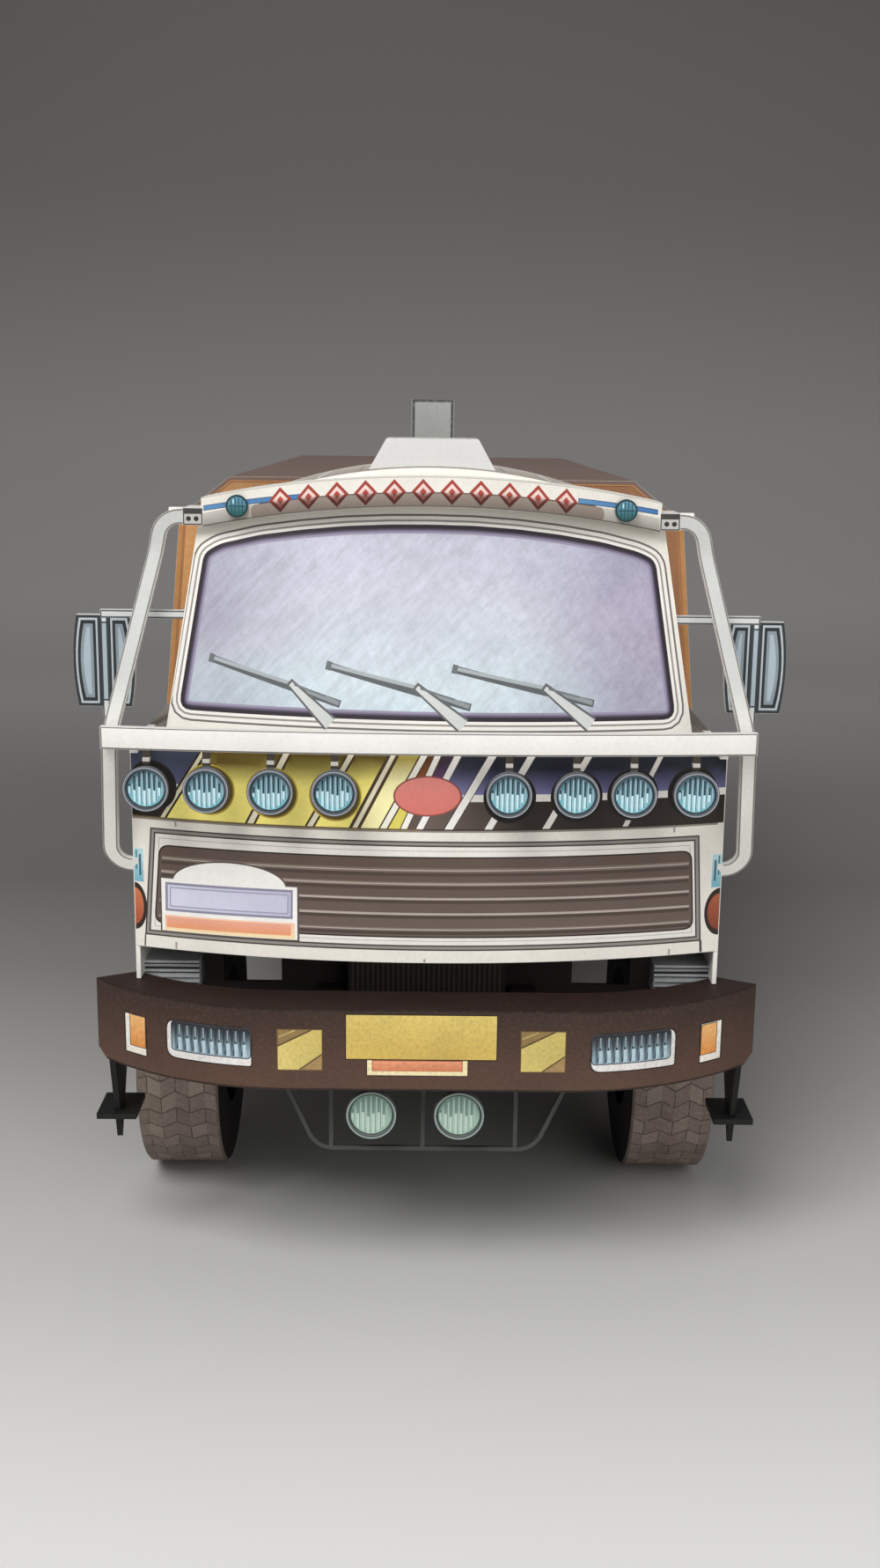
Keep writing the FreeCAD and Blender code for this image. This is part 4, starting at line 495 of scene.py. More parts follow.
def wheel_place(axle_y, x, hand):
    """Flat disc on the axle: u runs to the right for someone who faces it, v upwards from the axle."""
    return lambda u, v: np.stack([np.full_like(u, x), axle_y + hand * u, AXLE_Z + v], 1)


def round_print(*circles):
    """Discs about the middle, each given by its radius, corners and ink."""
    return [(oval(0, 0, radius, radius, corners), ink) for radius, corners, ink in circles]


drawing = round_print((RIM_INSIDE - 0.1, 48, ("#A9A6A1", "#8E8B86", (0, 9), (0, -9))), (8.7, 48, "#6B6762"),
                      (8.5, 48, "#B4B1AB"))
for k in range(10):
    hole = k * math.pi / 5
    bolt = hole + math.pi / 10
    drawing += [(oval(7.0 * math.cos(hole), 7.0 * math.sin(hole), 0.85, 0.85, 14), "#2B2724"),
                (oval(5.1 * math.cos(bolt), 5.1 * math.sin(bolt), 0.42, 0.42, 8), "#4C4844"),
                (oval(5.05 * math.cos(bolt), 5.1 * math.sin(bolt) + 0.05, 0.28, 0.28, 8), "#D5D2CC")]
drawing += round_print((4.1, 32, "#6B6762"), (3.95, 32, "#A29F99"))
for hand, side in HANDS:
    for end, web in WEBS:
        print_sheet(f"{end}_wheel_print_{side}", wheel_place(AXLES[end], hand * web, hand), drawing,
                    f"{end}_wheel_body_{side}", pitch=3.0)

# Bumper: a folded box of dark-brown printed card, bowed back at both ends. Its printed face carries the
# ribbed headlamps, the indicators, two yellow marker squares and a bare yellow plate over a short orange
# strip.
BUMPER_Y = -93.2
STRAIGHT, SWEPT_HALF, SWEEP_BACK = 16.0, 24.2, 10.2
bumper_card = card("speckled_brown_printed_card", "#291A15", grain=0.14, cloud=0.1, speckle="#3E2A23",
                   speckle_share=0.5)
bumper_print = card("speckled_brown_print", None, grain=0.14, cloud=0.1, speckle="#6E564B",
                    speckle_share=0.16)
dress(bumper_card, "bumper")


def sag(x, half, rise):
    """Fall of a circular arc from its crown at x: half is half its chord and rise its height."""
    radius = (half ** 2 + rise ** 2) / (2 * rise)
    return radius - np.sqrt(np.maximum(radius ** 2 - x ** 2, 0))


def bumper_place(u, v):
    """Bumper face: level line along X, straight in the middle and an arc beyond it; v is the height."""
    over = np.clip(np.abs(u) - STRAIGHT, 0, SWEPT_HALF)
    return np.stack([u, BUMPER_Y + sag(over, SWEPT_HALF, SWEEP_BACK), v], 1)


def grown(points, by):
    """Outline moved outwards by a distance, along the mean of its two sides' normals; inwards if negative."""
    points = np.asarray(points, float)
    ahead = np.roll(points, -1, 0) - points
    ahead /= np.hypot(ahead[:, 0], ahead[:, 1])[:, None] + 1e-12
    normal = np.stack([ahead[:, 1], -ahead[:, 0]], 1)
    mean = normal + np.roll(normal, 1, 0)
    mean /= (mean * normal).sum(1)[:, None]
    return points + mean * by


BROWN, DEEP_BROWN = ("#553D31", "#35241C", (0, 28.0), (0, 36.0)), "#160E0B"
outline = [(-39.0, 26.75), (39.0, 26.75), (40.1, 27.9), (40.1, 36.65), (-40.1, 36.65), (-40.1, 27.9)]
drawing = [(outline, BROWN), (block(-39.0, 36.45, 39.0, 36.65), "#251813"),
           (block(-38.9, 26.76, 38.9, 26.95), "#281B15")]
# indicators: an amber field in an L-shaped white edge
for hand, x0, x1 in ((-1, -36.1, -33.4), (1, 32.7, 35.4)):
    amber = block(x0 + 0.65, 29.75, x1 - 0.1, 33.6) if hand < 0 else block(x0 + 0.1, 29.75, x1 - 0.65, 33.45)
    drawing += [(block(x0 - 0.15, 28.65, x1 + 0.15, 33.75), DEEP_BROWN),
                (block(x0, 28.8, x1, 33.6), "#EDE6DA"),
                (grown(amber, 0.1), "#5A3B22"), (amber, ("#EDB774", "#DE9048", (0, 33.5), (0, 29.8)))]
# headlamps: blue-grey upright ribs, darker above, in a white edge on the outer side and below
for hand, left, right, base in ((-1, -30.6, -20.4, 29.5), (1, 19.3, 29.4, 29.2)):
    frame_edge = block(left, base, right, base + 4.6)
    x0, x1 = (left + 0.6, right - 0.1) if hand < 0 else (left + 0.1, right - 0.6)
    glass = block(x0, base + 0.95, x1, base + 4.5)
    drawing += [(rounded(grown(frame_edge, 0.14), (1.3, 0.4, 1.3, 1.3)), DEEP_BROWN),
                (rounded(frame_edge, (1.2, 0.3, 1.2, 1.2)), "#DDD9D6"),
                (rounded(grown(glass, 0.12), 0.6), "#3C3A40"),
                (rounded(glass, 0.5), ("#95ABB5", "#22282D", (0, base + 1.4), (0, base + 3.8)))]
    for x in np.arange(x0 + 0.35, x1 - 0.95, 0.98):
        drawing += [(block(x, base + 1.0, x + 0.3, base + 4.3),
                     ("#67828F", "#1F262B", (0, base + 1), (0, base + 3.4))),
                    (bar((x + 0.3, base + 1.1), (x + 0.75, base + 4.3), 0.16), "#1D242A"),
                    (block(x + 0.42, base + 1.1, x + 0.84, base + 2.6), "#AFC5CE"),
                    (block(x + 0.52, base + 2.9, x + 0.7, base + 4.2), "#8B9BA4")]
# marker squares with two corners cut off by a line
for x0 in (-17.25, 11.1):
    x1, z0, z1 = x0 + 5.1, 29.25, 34.15
    drawing += [(grown(block(x0, z0, x1, z1), 0.1), "#6B5230"),
                (block(x0, z0, x1, z1), ("#D6C373", "#C2AE62", (x0, z0), (x1, z1))),
                ([(x0, z1 - 2.0), (x0 + 3.9, z1), (x0, z1)], "#8A7145"),
                (bar((x0, z1 - 2.0), (x0 + 3.9, z1), 0.17), "#4A3A22"),
                (bar((x0 + 0.1, z1 - 0.9), (x0 + 2.0, z1 - 0.05), 0.14), "#B9A868"),
                ([(x0 + 2.5, z0), (x1, z0), (x1, z0 + 1.9)], "#A38658"),
                (bar((x0 + 2.5, z0), (x1, z0 + 1.9), 0.17), "#5A4828")]
# bare plate and the strip under it
drawing += [(block(-7.0, 28.5, 5.0, 31.0), "#3A2620"), (block(-6.85, 28.65, 4.85, 30.8), "#EBDDB0"),
            (block(-6.3, 29.15, 4.3, 30.5), "#A8623F"),
            (block(-6.2, 29.2, 4.2, 30.4), ("#E59A74", "#D07F58", (0, 30.4), (0, 29.2))),
            (block(-9.45, 30.5, 8.35, 36.2), "#2B1D12"),
            (block(-9.3, 30.65, 8.2, 36.05), ("#D5BD69", "#CDAF59", (0, 36), (0, 31)))]
print_sheet("bumper_print", bumper_place, drawing, material=bumper_print, edge="#1E1411")

# Under the bumper: a thin bent strip with upright posts and two corner fins crossed by small step plates.
# All are cut from black card; the knife leaves their edges grey.
# the flecks are where the black ink let the grey board through
black_card = card("black_card", "#100F0E", grain=0.2, cloud=0.15, rough=0.66, speckle="#1F1E1C",
                  speckle_share=0.5)
guard_strip_card = card("dark_grey_card", "#454543", grain=0.14, cloud=0.1)
dress(black_card, "bumper_steps", "mudguards", "wheel_arches")
dress(guard_strip_card, "fog_guard")

# Fog lamps and driving lamps: rolled card drums with a grey rim and a lens printed with upright ribs.
# The shells behind the rims are black; a short dark strap with a pale pin holds each driving lamp.
FOG_X, FOG_Z, FOG_LENS_Y, FOG_LENS = (-6.43, 4.0), 22.75, -91.0, 2.6
FOG_INKS = ("#829F91", "#9FBBAA", "#6A877B", "#BCD1C4", "#AFC3B8")
FOG_RING = ((2.6, 2.66, "#2A3330"), (2.66, 2.82, "#66736E"), (2.82, 2.93, "#A4B3AC"), (2.93, 2.99, "#39423F"))
BAR_Y, BAR_HALF, BAR_BOW = -93.2, 37.1, 2.0
LAMP_X = (-31.91, -25.08, -17.81, -10.61, 9.02, 16.62, 23.11, 30.20)
LAMP_Z, LAMP_LENS = 62.45, 2.2
LAMP_INKS = ("#5F828F", "#7CB8C5", "#23343E", "#C3E2E8", "#A3BCC6")
LAMP_RING = ((2.2, 2.26, "#20272B"), (2.26, 2.43, "#5F676F"), (2.43, 2.53, "#A2A3AA"),
             (2.53, 2.59, "#34373A"))
RIM_PROUD = 0.4
# where the rim ends, where the black shell begins, and the height above which a strap shows
FOG_SPLIT, LAMP_SPLIT = (-90.75, -90.55, 60.0), (-92.3, -91.9, 65.1)


def lamp_material(name, rim_tint, split_from, split_to, crown):
    """Grey rim towards the front and black shell behind it, by the piece's own Y; above the crown height it
    is the dark strap, with the pale head of a pin 0.6 mm up."""
    material = card(name, rim_tint, grain=0.1, cloud=0.08)
    spot = add(material, "TexCoord").outputs["Object"]
    part = add(material, "SeparateXYZ", links={"Vector": spot})
    y, z = part.outputs["Y"], part.outputs["Z"]
    behind = add(material, "MapRange", {"From Min": split_from * MM, "From Max": split_to * MM}, {"Value": y})
    taken, ink = ink_of(material)
    mixed = add(material, "Mix", {7: linear("#1B1A19")}, {0: behind, 6: ink}, data_type="RGBA")
    above = add(material, "MapRange", {"From Min": crown * MM, "From Max": (crown + 0.1) * MM}, {"Value": z})
    strapped = add(material, "Mix", {7: linear("#3A3129")}, {0: above, 6: mixed.outputs[2]}, data_type="RGBA")
    head = add(material, "Math", {1: (crown + 0.6) * MM, 2: 0.24 * MM}, {0: z}, operation="COMPARE")
    pinned = add(material, "Mix", {7: linear("#BDB8B0")}, {0: head, 6: strapped.outputs[2]}, data_type="RGBA")
    material.node_tree.links.new(pinned.outputs[2], taken)
    return material


def lens_drawing(radius, inks, rib, seed):
    """Ribbed lens: a dark ring round a disc that darkens over its middle line, with upright ribs cut to the
    disc's height. Each rib is a bright lower bar, a dark upper bar and a thin line."""
    upper, lower, dark, bright, thin = inks
    wobble = np.random.default_rng(seed)
    drawing = round_print((radius, 36, "#1F2A2E"),
                          (radius - 0.1, 36, (lower, upper, (0, -radius * 0.25), (0, radius * 0.5))))
    for x in np.arange(-radius + rib * 0.35, radius - rib * 0.6, rib):
        reach = math.sqrt(max((radius - 0.12) ** 2 - max(abs(x), abs(x + rib * 0.9)) ** 2, 0.0))
        if reach < 0.3:
            continue
        split = min(wobble.uniform(-0.3, 0.3), reach * 0.8)
        drawing += [(block(x, -reach, x + rib * 0.46, split), bright),
                    (block(x + rib * 0.06, split, x + rib * 0.4, reach), dark),
                    (block(x + rib * 0.52, -reach * 0.96, x + rib * 0.62, reach * 0.95), dark),
                    (block(x + rib * 0.68, -reach * 0.8, x + rib * 0.9, reach * 0.92), thin)]
    return drawing


def rim_ring(name, middle, face_y, bands):
    """Flat printed ring on a lamp's rim: circles whose radii step through the bands, front and back, swept
    round the lamp's own axis."""
    turn = (np.arange(48) * 2 * math.pi / 48)[:, None]
    radii = np.array([bands[0][0]] + [outer for _, outer, _ in bands])
    r = np.concatenate([radii, radii[::-1]])[None]
    y = np.repeat([face_y - PAPER_LIFT, face_y + PAPER_SINK], len(radii))[None]
    points = np.stack([middle[0] + r * np.cos(turn), y + 0 * turn, middle[1] + r * np.sin(turn)], -1)
    rows, columns = points.shape[:2]
    i, j = np.meshgrid(np.arange(rows), np.arange(columns), indexing="ij")
    here, after = i * columns, (i + 1) % rows * columns
    beyond = (j + 1) % columns
    faces = np.stack([here + j, after + j, after + beyond, here + beyond], -1).reshape(-1, 4)
    mesh = bpy.data.meshes.new(name)
    mesh.from_pydata((points.reshape(-1, 3) * MM).tolist(), [], faces.tolist())
    inks = [linear(tint) for _, _, tint in bands]
    inks = np.array(inks + [inks[-1]] + inks[::-1] + [inks[0]])
    layer = mesh.color_attributes.new("ink", "FLOAT_COLOR", "CORNER")
    layer.data.foreach_set("color", np.repeat(np.tile(inks, (rows, 1)), 4, axis=0).astype(np.float32).ravel())
    mesh.materials.append(printed)
    ring = bpy.data.objects.new(name, mesh)
    scene.collection.objects.link(ring)
    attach(ring, "root")


def front_lamp(label, index, x, lens_y, z, lens, ring):
    """Lens print and rim ring of one lamp."""
    print_sheet(f"{label}_lens_{index}", upright(lens_y, 1, x, z), lens, pitch=2.0)
    rim_ring(f"{label}_ring_{index}", (x, z), lens_y - RIM_PROUD, ring)


dress(lamp_material("fog_lamp_card", "#7B7E7C", *FOG_SPLIT), "fog_lamps")
for index, x in enumerate(FOG_X):
    lens = lens_drawing(FOG_LENS - 0.02, FOG_INKS, 0.62, 40 + index)
    front_lamp("fog", index + 1, x, FOG_LENS_Y, FOG_Z, lens, FOG_RING)
dress(lamp_material("driving_lamp_card", "#5E6163", *LAMP_SPLIT), "driving_lamps")
for index, x in enumerate(LAMP_X):
    lens_y = BAR_Y + float(sag(np.array(x), BAR_HALF, BAR_BOW)) - 0.9 + RIM_PROUD
    lens = lens_drawing(LAMP_LENS - 0.02, LAMP_INKS, 0.56, 10 + index)
    front_lamp("driving", index + 1, x, lens_y, LAMP_Z, lens, LAMP_RING)

# Cab front: one bowed sheet of white card, folded back at the shoulder. The print has a racing band of
# slanted fields, a plain red oval, a framed brown grille with pale bars, a bare rally board and the corner
# lamps. FRONT and BELT are level arcs: depth of the crown, half chord and bow.
FRONT, BELT, SHOULDER_Z, BELT_Z = (-89.0, 35.2, 5.6), (-88.4, 30.85, 5.0), 65.6, 67.8
SHEET_HALF, SHEET_FOOT, BAND0, BAND1 = 35.15, 41.05, 57.1, 66.4
WHITE, CREAM, LINE = "#E4DFD5", "#E9E0C4", "#49371C"
dress(white_card, "cab_front", "windscreen_panel", "cab_roof", "cab_back", "cab_side_right", "cab_side_left")


def ruled(u, s, low, high):
    """Depth of a strip ruled between two level arcs: 1 - s times the lower arc plus s times the upper one,
    both taken at the same share of their chord."""
    q = u / (low[1] + (high[1] - low[1]) * s)
    return (1 - s) * (low[0] + sag(q * low[1], *low[1:])) + s * (high[0] + sag(q * high[1], *high[1:]))


def front_place(u, v):
    """Lower front: a level arc up to the shoulder, then a ruled strip to the shorter arc of the belt."""
    s = np.clip((v - SHOULDER_Z) / (BELT_Z - SHOULDER_Z), 0, 1)
    return np.stack([u, ruled(u, s, FRONT, BELT), v], 1)


def slant(bottom0, top0, bottom1, top1, z0, z1):
    """Field between two slanted lines, each given by its X at Z 57 and at Z 65."""
    def at(bottom, top, z):
        """Point of one line at height z: its X changes evenly with the height."""
        return bottom + (top - bottom) * (z - 57) / 8, z
    return [at(bottom0, top0, z0), at(bottom1, top1, z0), at(bottom1, top1, z1), at(bottom0, top0, z1)]


drawing = [
    ([(-SHEET_HALF, SHEET_FOOT), (SHEET_HALF, SHEET_FOOT), (SHEET_HALF, SHOULDER_Z), (33.6, BAND1),
      (-33.6, BAND1), (-SHEET_HALF, SHOULDER_Z)], WHITE),
    (block(-SHEET_HALF, SHEET_FOOT, SHEET_HALF, SHOULDER_Z), WHITE),
    (block(-SHEET_HALF, BAND0 - 0.25, 34.4, BAND0), "#8A8076"),
    # upper fields: night blue falling to violet on the right and on the far left, darker at the top partly as
    # painted shadow of the guard bar
    (slant(-1.1, 2.9, 35.1, 35.1, BAND0, BAND1)[:2] + [(35.1, BAND1), (3.6, BAND1)],
     ("#7B79A6", "#1C1E2A", (10, 61.3), (10.1, 64.4))),
    ([(-SHEET_HALF, BAND0), (-31.4, BAND0), (-25.7, BAND1), (-SHEET_HALF, BAND1)],
     ("#55587A", "#363C4C", (0, 61.5), (0, 64.2))),
    # lower fields: brown-black
    ([(-1.0, BAND0), (35.1, BAND0), (35.1, 60.9), (1.0, 60.9)], ("#665950", "#2B221C", (0, 0), (12.0, 0))),
    ([(-SHEET_HALF, BAND0), (-31.4, BAND0), (-28.9, 60.9), (-SHEET_HALF, 60.9)], "#170E09"),
    (block(3.9, 60.5, 35.1, 61.35), "#EDEAE4"), (block(-SHEET_HALF, 60.5, -29.2, 61.4), "#E2DED6"),
    # the yellow field and the coloured fields right of it; their darkening towards the top is painted shadow
    # of the guard bar
    (slant(-31.2, -26.2, -4.9, -0.6, BAND0, BAND1), ("#FFF084", "#5F4D12", (-10, 62.6), (-10.12, 65.0))),
    (slant(-8.3, -4.3, -5.2, -1.2, BAND0, BAND1), ("#FDF5B6", "#A89542", (0, 62.9), (0, 65.4))),
    (slant(-5.0, -1.0, -3.0, 0.7, BAND0, 61.5), "#DDD063"),
    (slant(-5.4, -1.2, -3.0, 0.7, 62.0, BAND1), ("#9A5223", "#5A3010", (0, 63.0), (0, 65.2))),
    (slant(-3.0, 0.7, -1.1, 2.9, 62.0, BAND1), ("#5E3F68", "#33232F", (0, 63.0), (0, 65.2))),
    (slant(-3.0, 0.7, -1.0, 2.9, BAND0, 61.0), "#5C5048")]
# slanted stripes: X at Z 57, X at Z 65, width, fill, line colour, line width
STRIPES = ((-31.55, -26.5, 0.5, "#D9D1B4", "#2E2114", 0.3), (-20.9, -16.8, 0.7, CREAM, LINE, 0.3),
           (-13.9, -9.4, 0.65, CREAM, LINE, 0.28), (-8.65, -4.55, 0.55, CREAM, LINE, 0.42),
           (-5.35, -1.05, 0.75, "#F0ECDF", LINE, 0.2), (-2.95, 0.6, 0.7, "#F0ECE2", "#54402F", 0.15),
           (-1.15, 2.85, 0.8, "#EDEAE4", "#4A4248", 0.12), (2.2, 6.75, 0.95, "#EFECE6", "#3F3A40", 0.12),
           (6.8, 11.3, 0.9, "#E9E6DF", "#3A3431", 0.1), (13.5, 18.0, 0.85, "#E2DED7", "#332C29", 0.1),
           (22.9, 26.75, 0.65, "#D5D1CA", "#2E2825", 0.1))
for bottom, top, width, fill, line, edge in STRIPES:
    half = width / 2
    for more, tint in ((edge, line), (0, fill)):
        drawing.append((slant(bottom - half - more, top - half - more, bottom + half + more,
                              top + half + more, BAND0, BAND1), tint))
# painted shadow of each lamp: soft dark rings on the band round the place where each lamp stands before it
for x in LAMP_X:
    shades = ("#C9B04A", "#94802F", "#5A4A1C") if -30 < x < 0 else ("#231B16", "#1A130F", "#0F0B09")
    drawing += [(oval(x * 1.025 + 0.1, 61.0, radius, radius, 40), tint)
                for radius, tint in zip((3.06, 2.94, 2.82), shades)]
# the red oval, and the band's lower line
drawing += [(oval(-0.13, 61.15, 3.95, 2.4, 44), "#8E4A44"),
            (oval(-0.13, 61.15, 3.75, 2.22, 44), ("#E58C82", "#D6746A", (0, 63), (0, 59))),
            (block(-SHEET_HALF, BAND0 - 0.02, -1.0, BAND0 + 0.16), "#6D5A36"),
            (block(-1.0, BAND0 - 0.02, 35.1, BAND0 + 0.14), "#2E2622")]
# frame: two dark lines with grey between them, then white
panel = np.array([(-33.95, 42.55), (32.95, 42.5), (32.15, 55.7), (-32.95, 55.9)])
drawing += [(grown(panel, inset), tint) for inset, tint in (
    (0.0, "#3C3532"), (-0.18, "#8F8983"), (-0.5, "#3F3835"), (-0.68, "#E4E0D8"), (-1.15, "#A49E97"),
    (-1.22, "#E4E0D8"))]
drawing += [(bar((-33.9, 42.6), (-34.0, 41.1), 0.2), "#5A534E"),
            (bar((32.9, 42.6), (33.0, 41.1), 0.3), "#4A4440")]
# grille with pale bars: height, thickness and colour
grille = [(-32.55, 44.3), (31.75, 44.25), (31.15, 53.75), (-31.75, 53.75)]
drawing += [(rounded(grown(grille, 0.18), 1.3), "#2A211D"),
            (rounded(grille, 1.2), ("#5C4C44", "#675850", (0, 52), (0, 45)))]
for z, height, tint in ((52.3, 0.55, "#75665D"), (50.65, 0.45, "#83746B"), (48.85, 0.3, "#A2958D"),
                        (47.0, 0.3, "#A59990"), (45.1, 0.4, "#7C6E65")):
    lean = (z - 44.3) / 9.45 * 0.7
    x0, x1 = -32.2 + lean, 31.4 - lean * 0.7
    drawing += [(block(x0, z - height / 2 - 0.42, x1, z - height / 2), "#4A3D37"),
                (block(x0, z - height / 2, x1, z + height / 2), tint),
                (block(x0, z - 0.06, x1, z + 0.05), "#B4A89E")]
# small register ticks at the card's edges
drawing += [(block(x - 0.13, z0, x + 0.13, z1), "#A29C94") for x, z0, z1 in (
    (-29.8, 56.25, 57.0), (29.0, 56.2, 56.9), (-30.05, 41.1, 42.0), (-0.3, 41.1, 41.5), (29.0, 41.1, 41.8))]
# bare rally board: half-round top, lilac field, orange strip
drawing.append(([(-31.95, 43.1), (-15.05, 43.2), (-15.05, 49.95), (-31.9, 49.95)], "#5A4F4A"))
turn = np.linspace(0, math.pi, 25)
drawing += [(np.stack([-23.45 - rx * np.cos(turn), z + rz * np.sin(turn)], 1)[::-1], tint)
            for rx, rz, z, tint in ((7.0, 2.75, 49.7, "#5A4F4A"), (6.8, 2.65, 49.6, "#F0EDE8"))]
drawing += [
    ([(-31.75, 43.3), (-15.3, 43.35), (-15.3, 49.8), (-31.75, 49.8)], "#F0EDE8"),
    ([(-31.3, 45.8), (-15.85, 45.9), (-15.8, 49.45), (-31.25, 49.35)], "#8A879C"),
    ([(-31.0, 46.1), (-16.1, 46.2), (-16.05, 49.15), (-30.95, 49.05)],
     ("#CFCFE0", "#BDBBD0", (-31, 0), (-16, 0))),
    ([(-30.75, 46.35), (-16.35, 46.45), (-16.3, 48.9), (-30.7, 48.8)], "#9A97AC"),
    ([(-30.6, 46.5), (-16.5, 46.6), (-16.45, 48.75), (-30.55, 48.65)],
     ("#D3D4E4", "#C3C2D6", (-31, 0), (-16, 0))),
    ([(-31.4, 43.35), (-15.6, 43.4), (-15.6, 45.4), (-31.4, 45.3)],
     ("#F4DDB0", "#F2C6A8", (0, 43.4), (0, 45.3))),
    ([(-31.2, 43.75), (-16.05, 43.85), (-16.05, 45.2), (-31.2, 45.1)],
     ("#E79A6C", "#E8A58F", (0, 43.8), (0, 45.1)))]
# corner lamps: cyan above, an orange marker in a dark outline below; the right one's orange is darker,
# painted shade
turn = np.linspace(-math.pi / 2, math.pi / 2, 17)
for hand, wide, upper, lower in ((-1, 1.5, "#C4724A", "#A04C30"), (1, 1.9, "#A2583A", "#7E3D28")):
    left, right = sorted((hand * 33.95, hand * 35.12))
    drawing += [(block(left, 49.1, right, 53.2), ("#6FA9BC", "#B4D4DA", (0, 49.2), (0, 53.1))),
                (block(hand * 34.35 - 0.12, 49.9, hand * 34.35 + 0.12, 52.5), "#3B5662"),
                (block(hand * 34.8 - 0.1, 50.6, hand * 34.8 + 0.1, 53.0), "#4D7482")]
    for inset, tint in ((0.0, "#2E2019"), (0.4, (upper, lower, (0, 48), (0, 44)))):
        bulge = hand * (35.12 - (wide - inset) * np.cos(turn))
        drawing.append((np.stack([bulge, 46.05 + (2.95 - inset * 1.7) * np.sin(turn)], 1), tint))
print_sheet("cab_front_print", front_place, drawing)

# Windscreen: the raked upper front, white card with the glass printed on it in lilac that pales to cyan low
# down. A dark purple edge, two thin seal lines and three grey wipers are part of the drawing, laid in with a
# pencil.
TOP, TOP_Z = (-75.925, 25.845, 3.614), 104.3
ROOF_R, ROOF_CENTRE = 62.71, 35.19


def screen_place(u, v):
    """Raked front: ruled between the belt's arc and a shorter, flatter arc high above it."""
    return np.stack([u, ruled(u, (v - BELT_Z) / (TOP_Z - BELT_Z), BELT, TOP), v], 1)


def glass_material():
    """Printed screen: the drawn ink, and where its alpha is nought a lilac that pales to cyan low in the
    middle and turns pink low on the right, laid in with crossed pencil strokes."""
    material = card("printed_glass", None, grain=0.04, cloud=0.05, rough=0.5)
    spot = add(material, "TexCoord").outputs["Object"]
    place = add(material, "SeparateXYZ", links={"Vector": spot}).outputs
    drift = add(material, "TexNoise", {"Scale": 140.0, "Detail": 3.0}, {"Vector": spot})
    wander = add(material, "MapRange", {"To Min": -0.004, "To Max": 0.004}, {"Value": drift})
    height = add(material, "Math", links={0: place["Z"], 1: wander}, operation="ADD")
    rise = add(material, "MapRange", {"From Min": 0.07, "From Max": 0.0905}, {"Value": height})
    across = add(material, "Math", links={0: place["X"], 1: wander}, operation="ADD")
    lilac = None
    for x0, x1, shades in ((0, 0, ("#AFB8C2", "#AFB7C0", "#A6A4B3", "#A3A2B2")),
                           (-0.026, -0.011, ("#C5D3DA", "#C6D2D8", "#BFC3CD", "#B9B8C7")),
                           (0.007, 0.025, ("#A09FB0", "#A3A0B2", "#A79FB2", "#9C9AAF"))):
        ramp = add(material, "ValToRGB", links={"Fac": rise})
        ramp.color_ramp.elements[0].color = linear(shades[0])
        ramp.color_ramp.elements[1].color = linear(shades[3])
        ramp.color_ramp.elements.new(0.22).color = linear(shades[1])
        ramp.color_ramp.elements.new(0.46).color = linear(shades[2])
        if lilac is None:
            lilac = ramp
            continue
        aside = add(material, "MapRange", {"From Min": x0, "From Max": x1}, {"Value": across},
                    interpolation_type="SMOOTHSTEP")
        lilac = add(material, "Mix", links={0: aside, 6: lilac, 7: ramp}, data_type="RGBA").outputs[2]
    strokes = None
    # three layers of strokes: their slant in degrees, their width in mm and how much they darken or lighten
    for tilt, fine, share in ((40, 0.6, 0.1), (-28, 0.8, 0.06), (55, 2.0, 0.06)):
        slanted = add(material, "Mapping", {"Rotation": (0, math.radians(tilt), 0), "Scale": (1, 1, 14)},
                      {"Vector": spot}, vector_type="TEXTURE")
        hatch = add(material, "TexNoise", {"Scale": 1 / (fine * MM), "Detail": 3.0, "Roughness": 0.7},
                    {"Vector": slanted})
        value = add(material, "MapRange",
                    {"From Min": 0.3, "From Max": 0.7, "To Min": 1 - share, "To Max": 1 + share},
                    {"Value": hatch}, clamp=False)
        if strokes:
            value = add(material, "Math", links={0: strokes, 1: value}, operation="MULTIPLY")
        strokes = value
    pencilled = add(material, "HueSaturation", links={"Color": lilac, "Value": strokes})
    taken, ink = ink_of(material)
    mixed = add(material, "Mix", links={0: ink.node.outputs["Alpha"], 6: pencilled, 7: ink}, data_type="RGBA")
    material.node_tree.links.new(mixed.outputs[2], taken)
    return material


edge_x = np.linspace(27.5, -27.5, 29)
roof_edge = np.stack([edge_x, ROOF_CENTRE + np.sqrt((ROOF_R - 0.55) ** 2 - edge_x ** 2)], 1)
glass = [(-29.25, 70.1), (28.7, 69.6), (26.35, 87.4), (24.3, 88.35), (20.0, 89.45), (15.0, 90.3),
         (10.0, 90.9), (5.0, 91.25), (0.0, 91.35), (-5.0, 91.3), (-10.0, 91.05), (-15.0, 90.55),
         (-20.0, 89.85), (-24.9, 88.7), (-26.7, 87.6)]
glass = rounded(glass, [1.4, 1.4, 1.0] + [0.9] * 11 + [0.8], steps=4)
drawing = [([(-30.75, 67.85), (30.75, 67.85)] + roof_edge.tolist(), WHITE)]
drawing += [(grown(glass, by), tint) for by, tint in (
    (1.35, "#6B6561"), (1.12, "#E6E2DA"), (0.72, "#8F8983"), (0.5, "#E9E5DE"), (0.16, "#1F1721"),
    (-0.26, "#43374A"), (-0.42, "#6F657C"), (-0.6, "#918AA0"), (-0.85, CLEAR))]
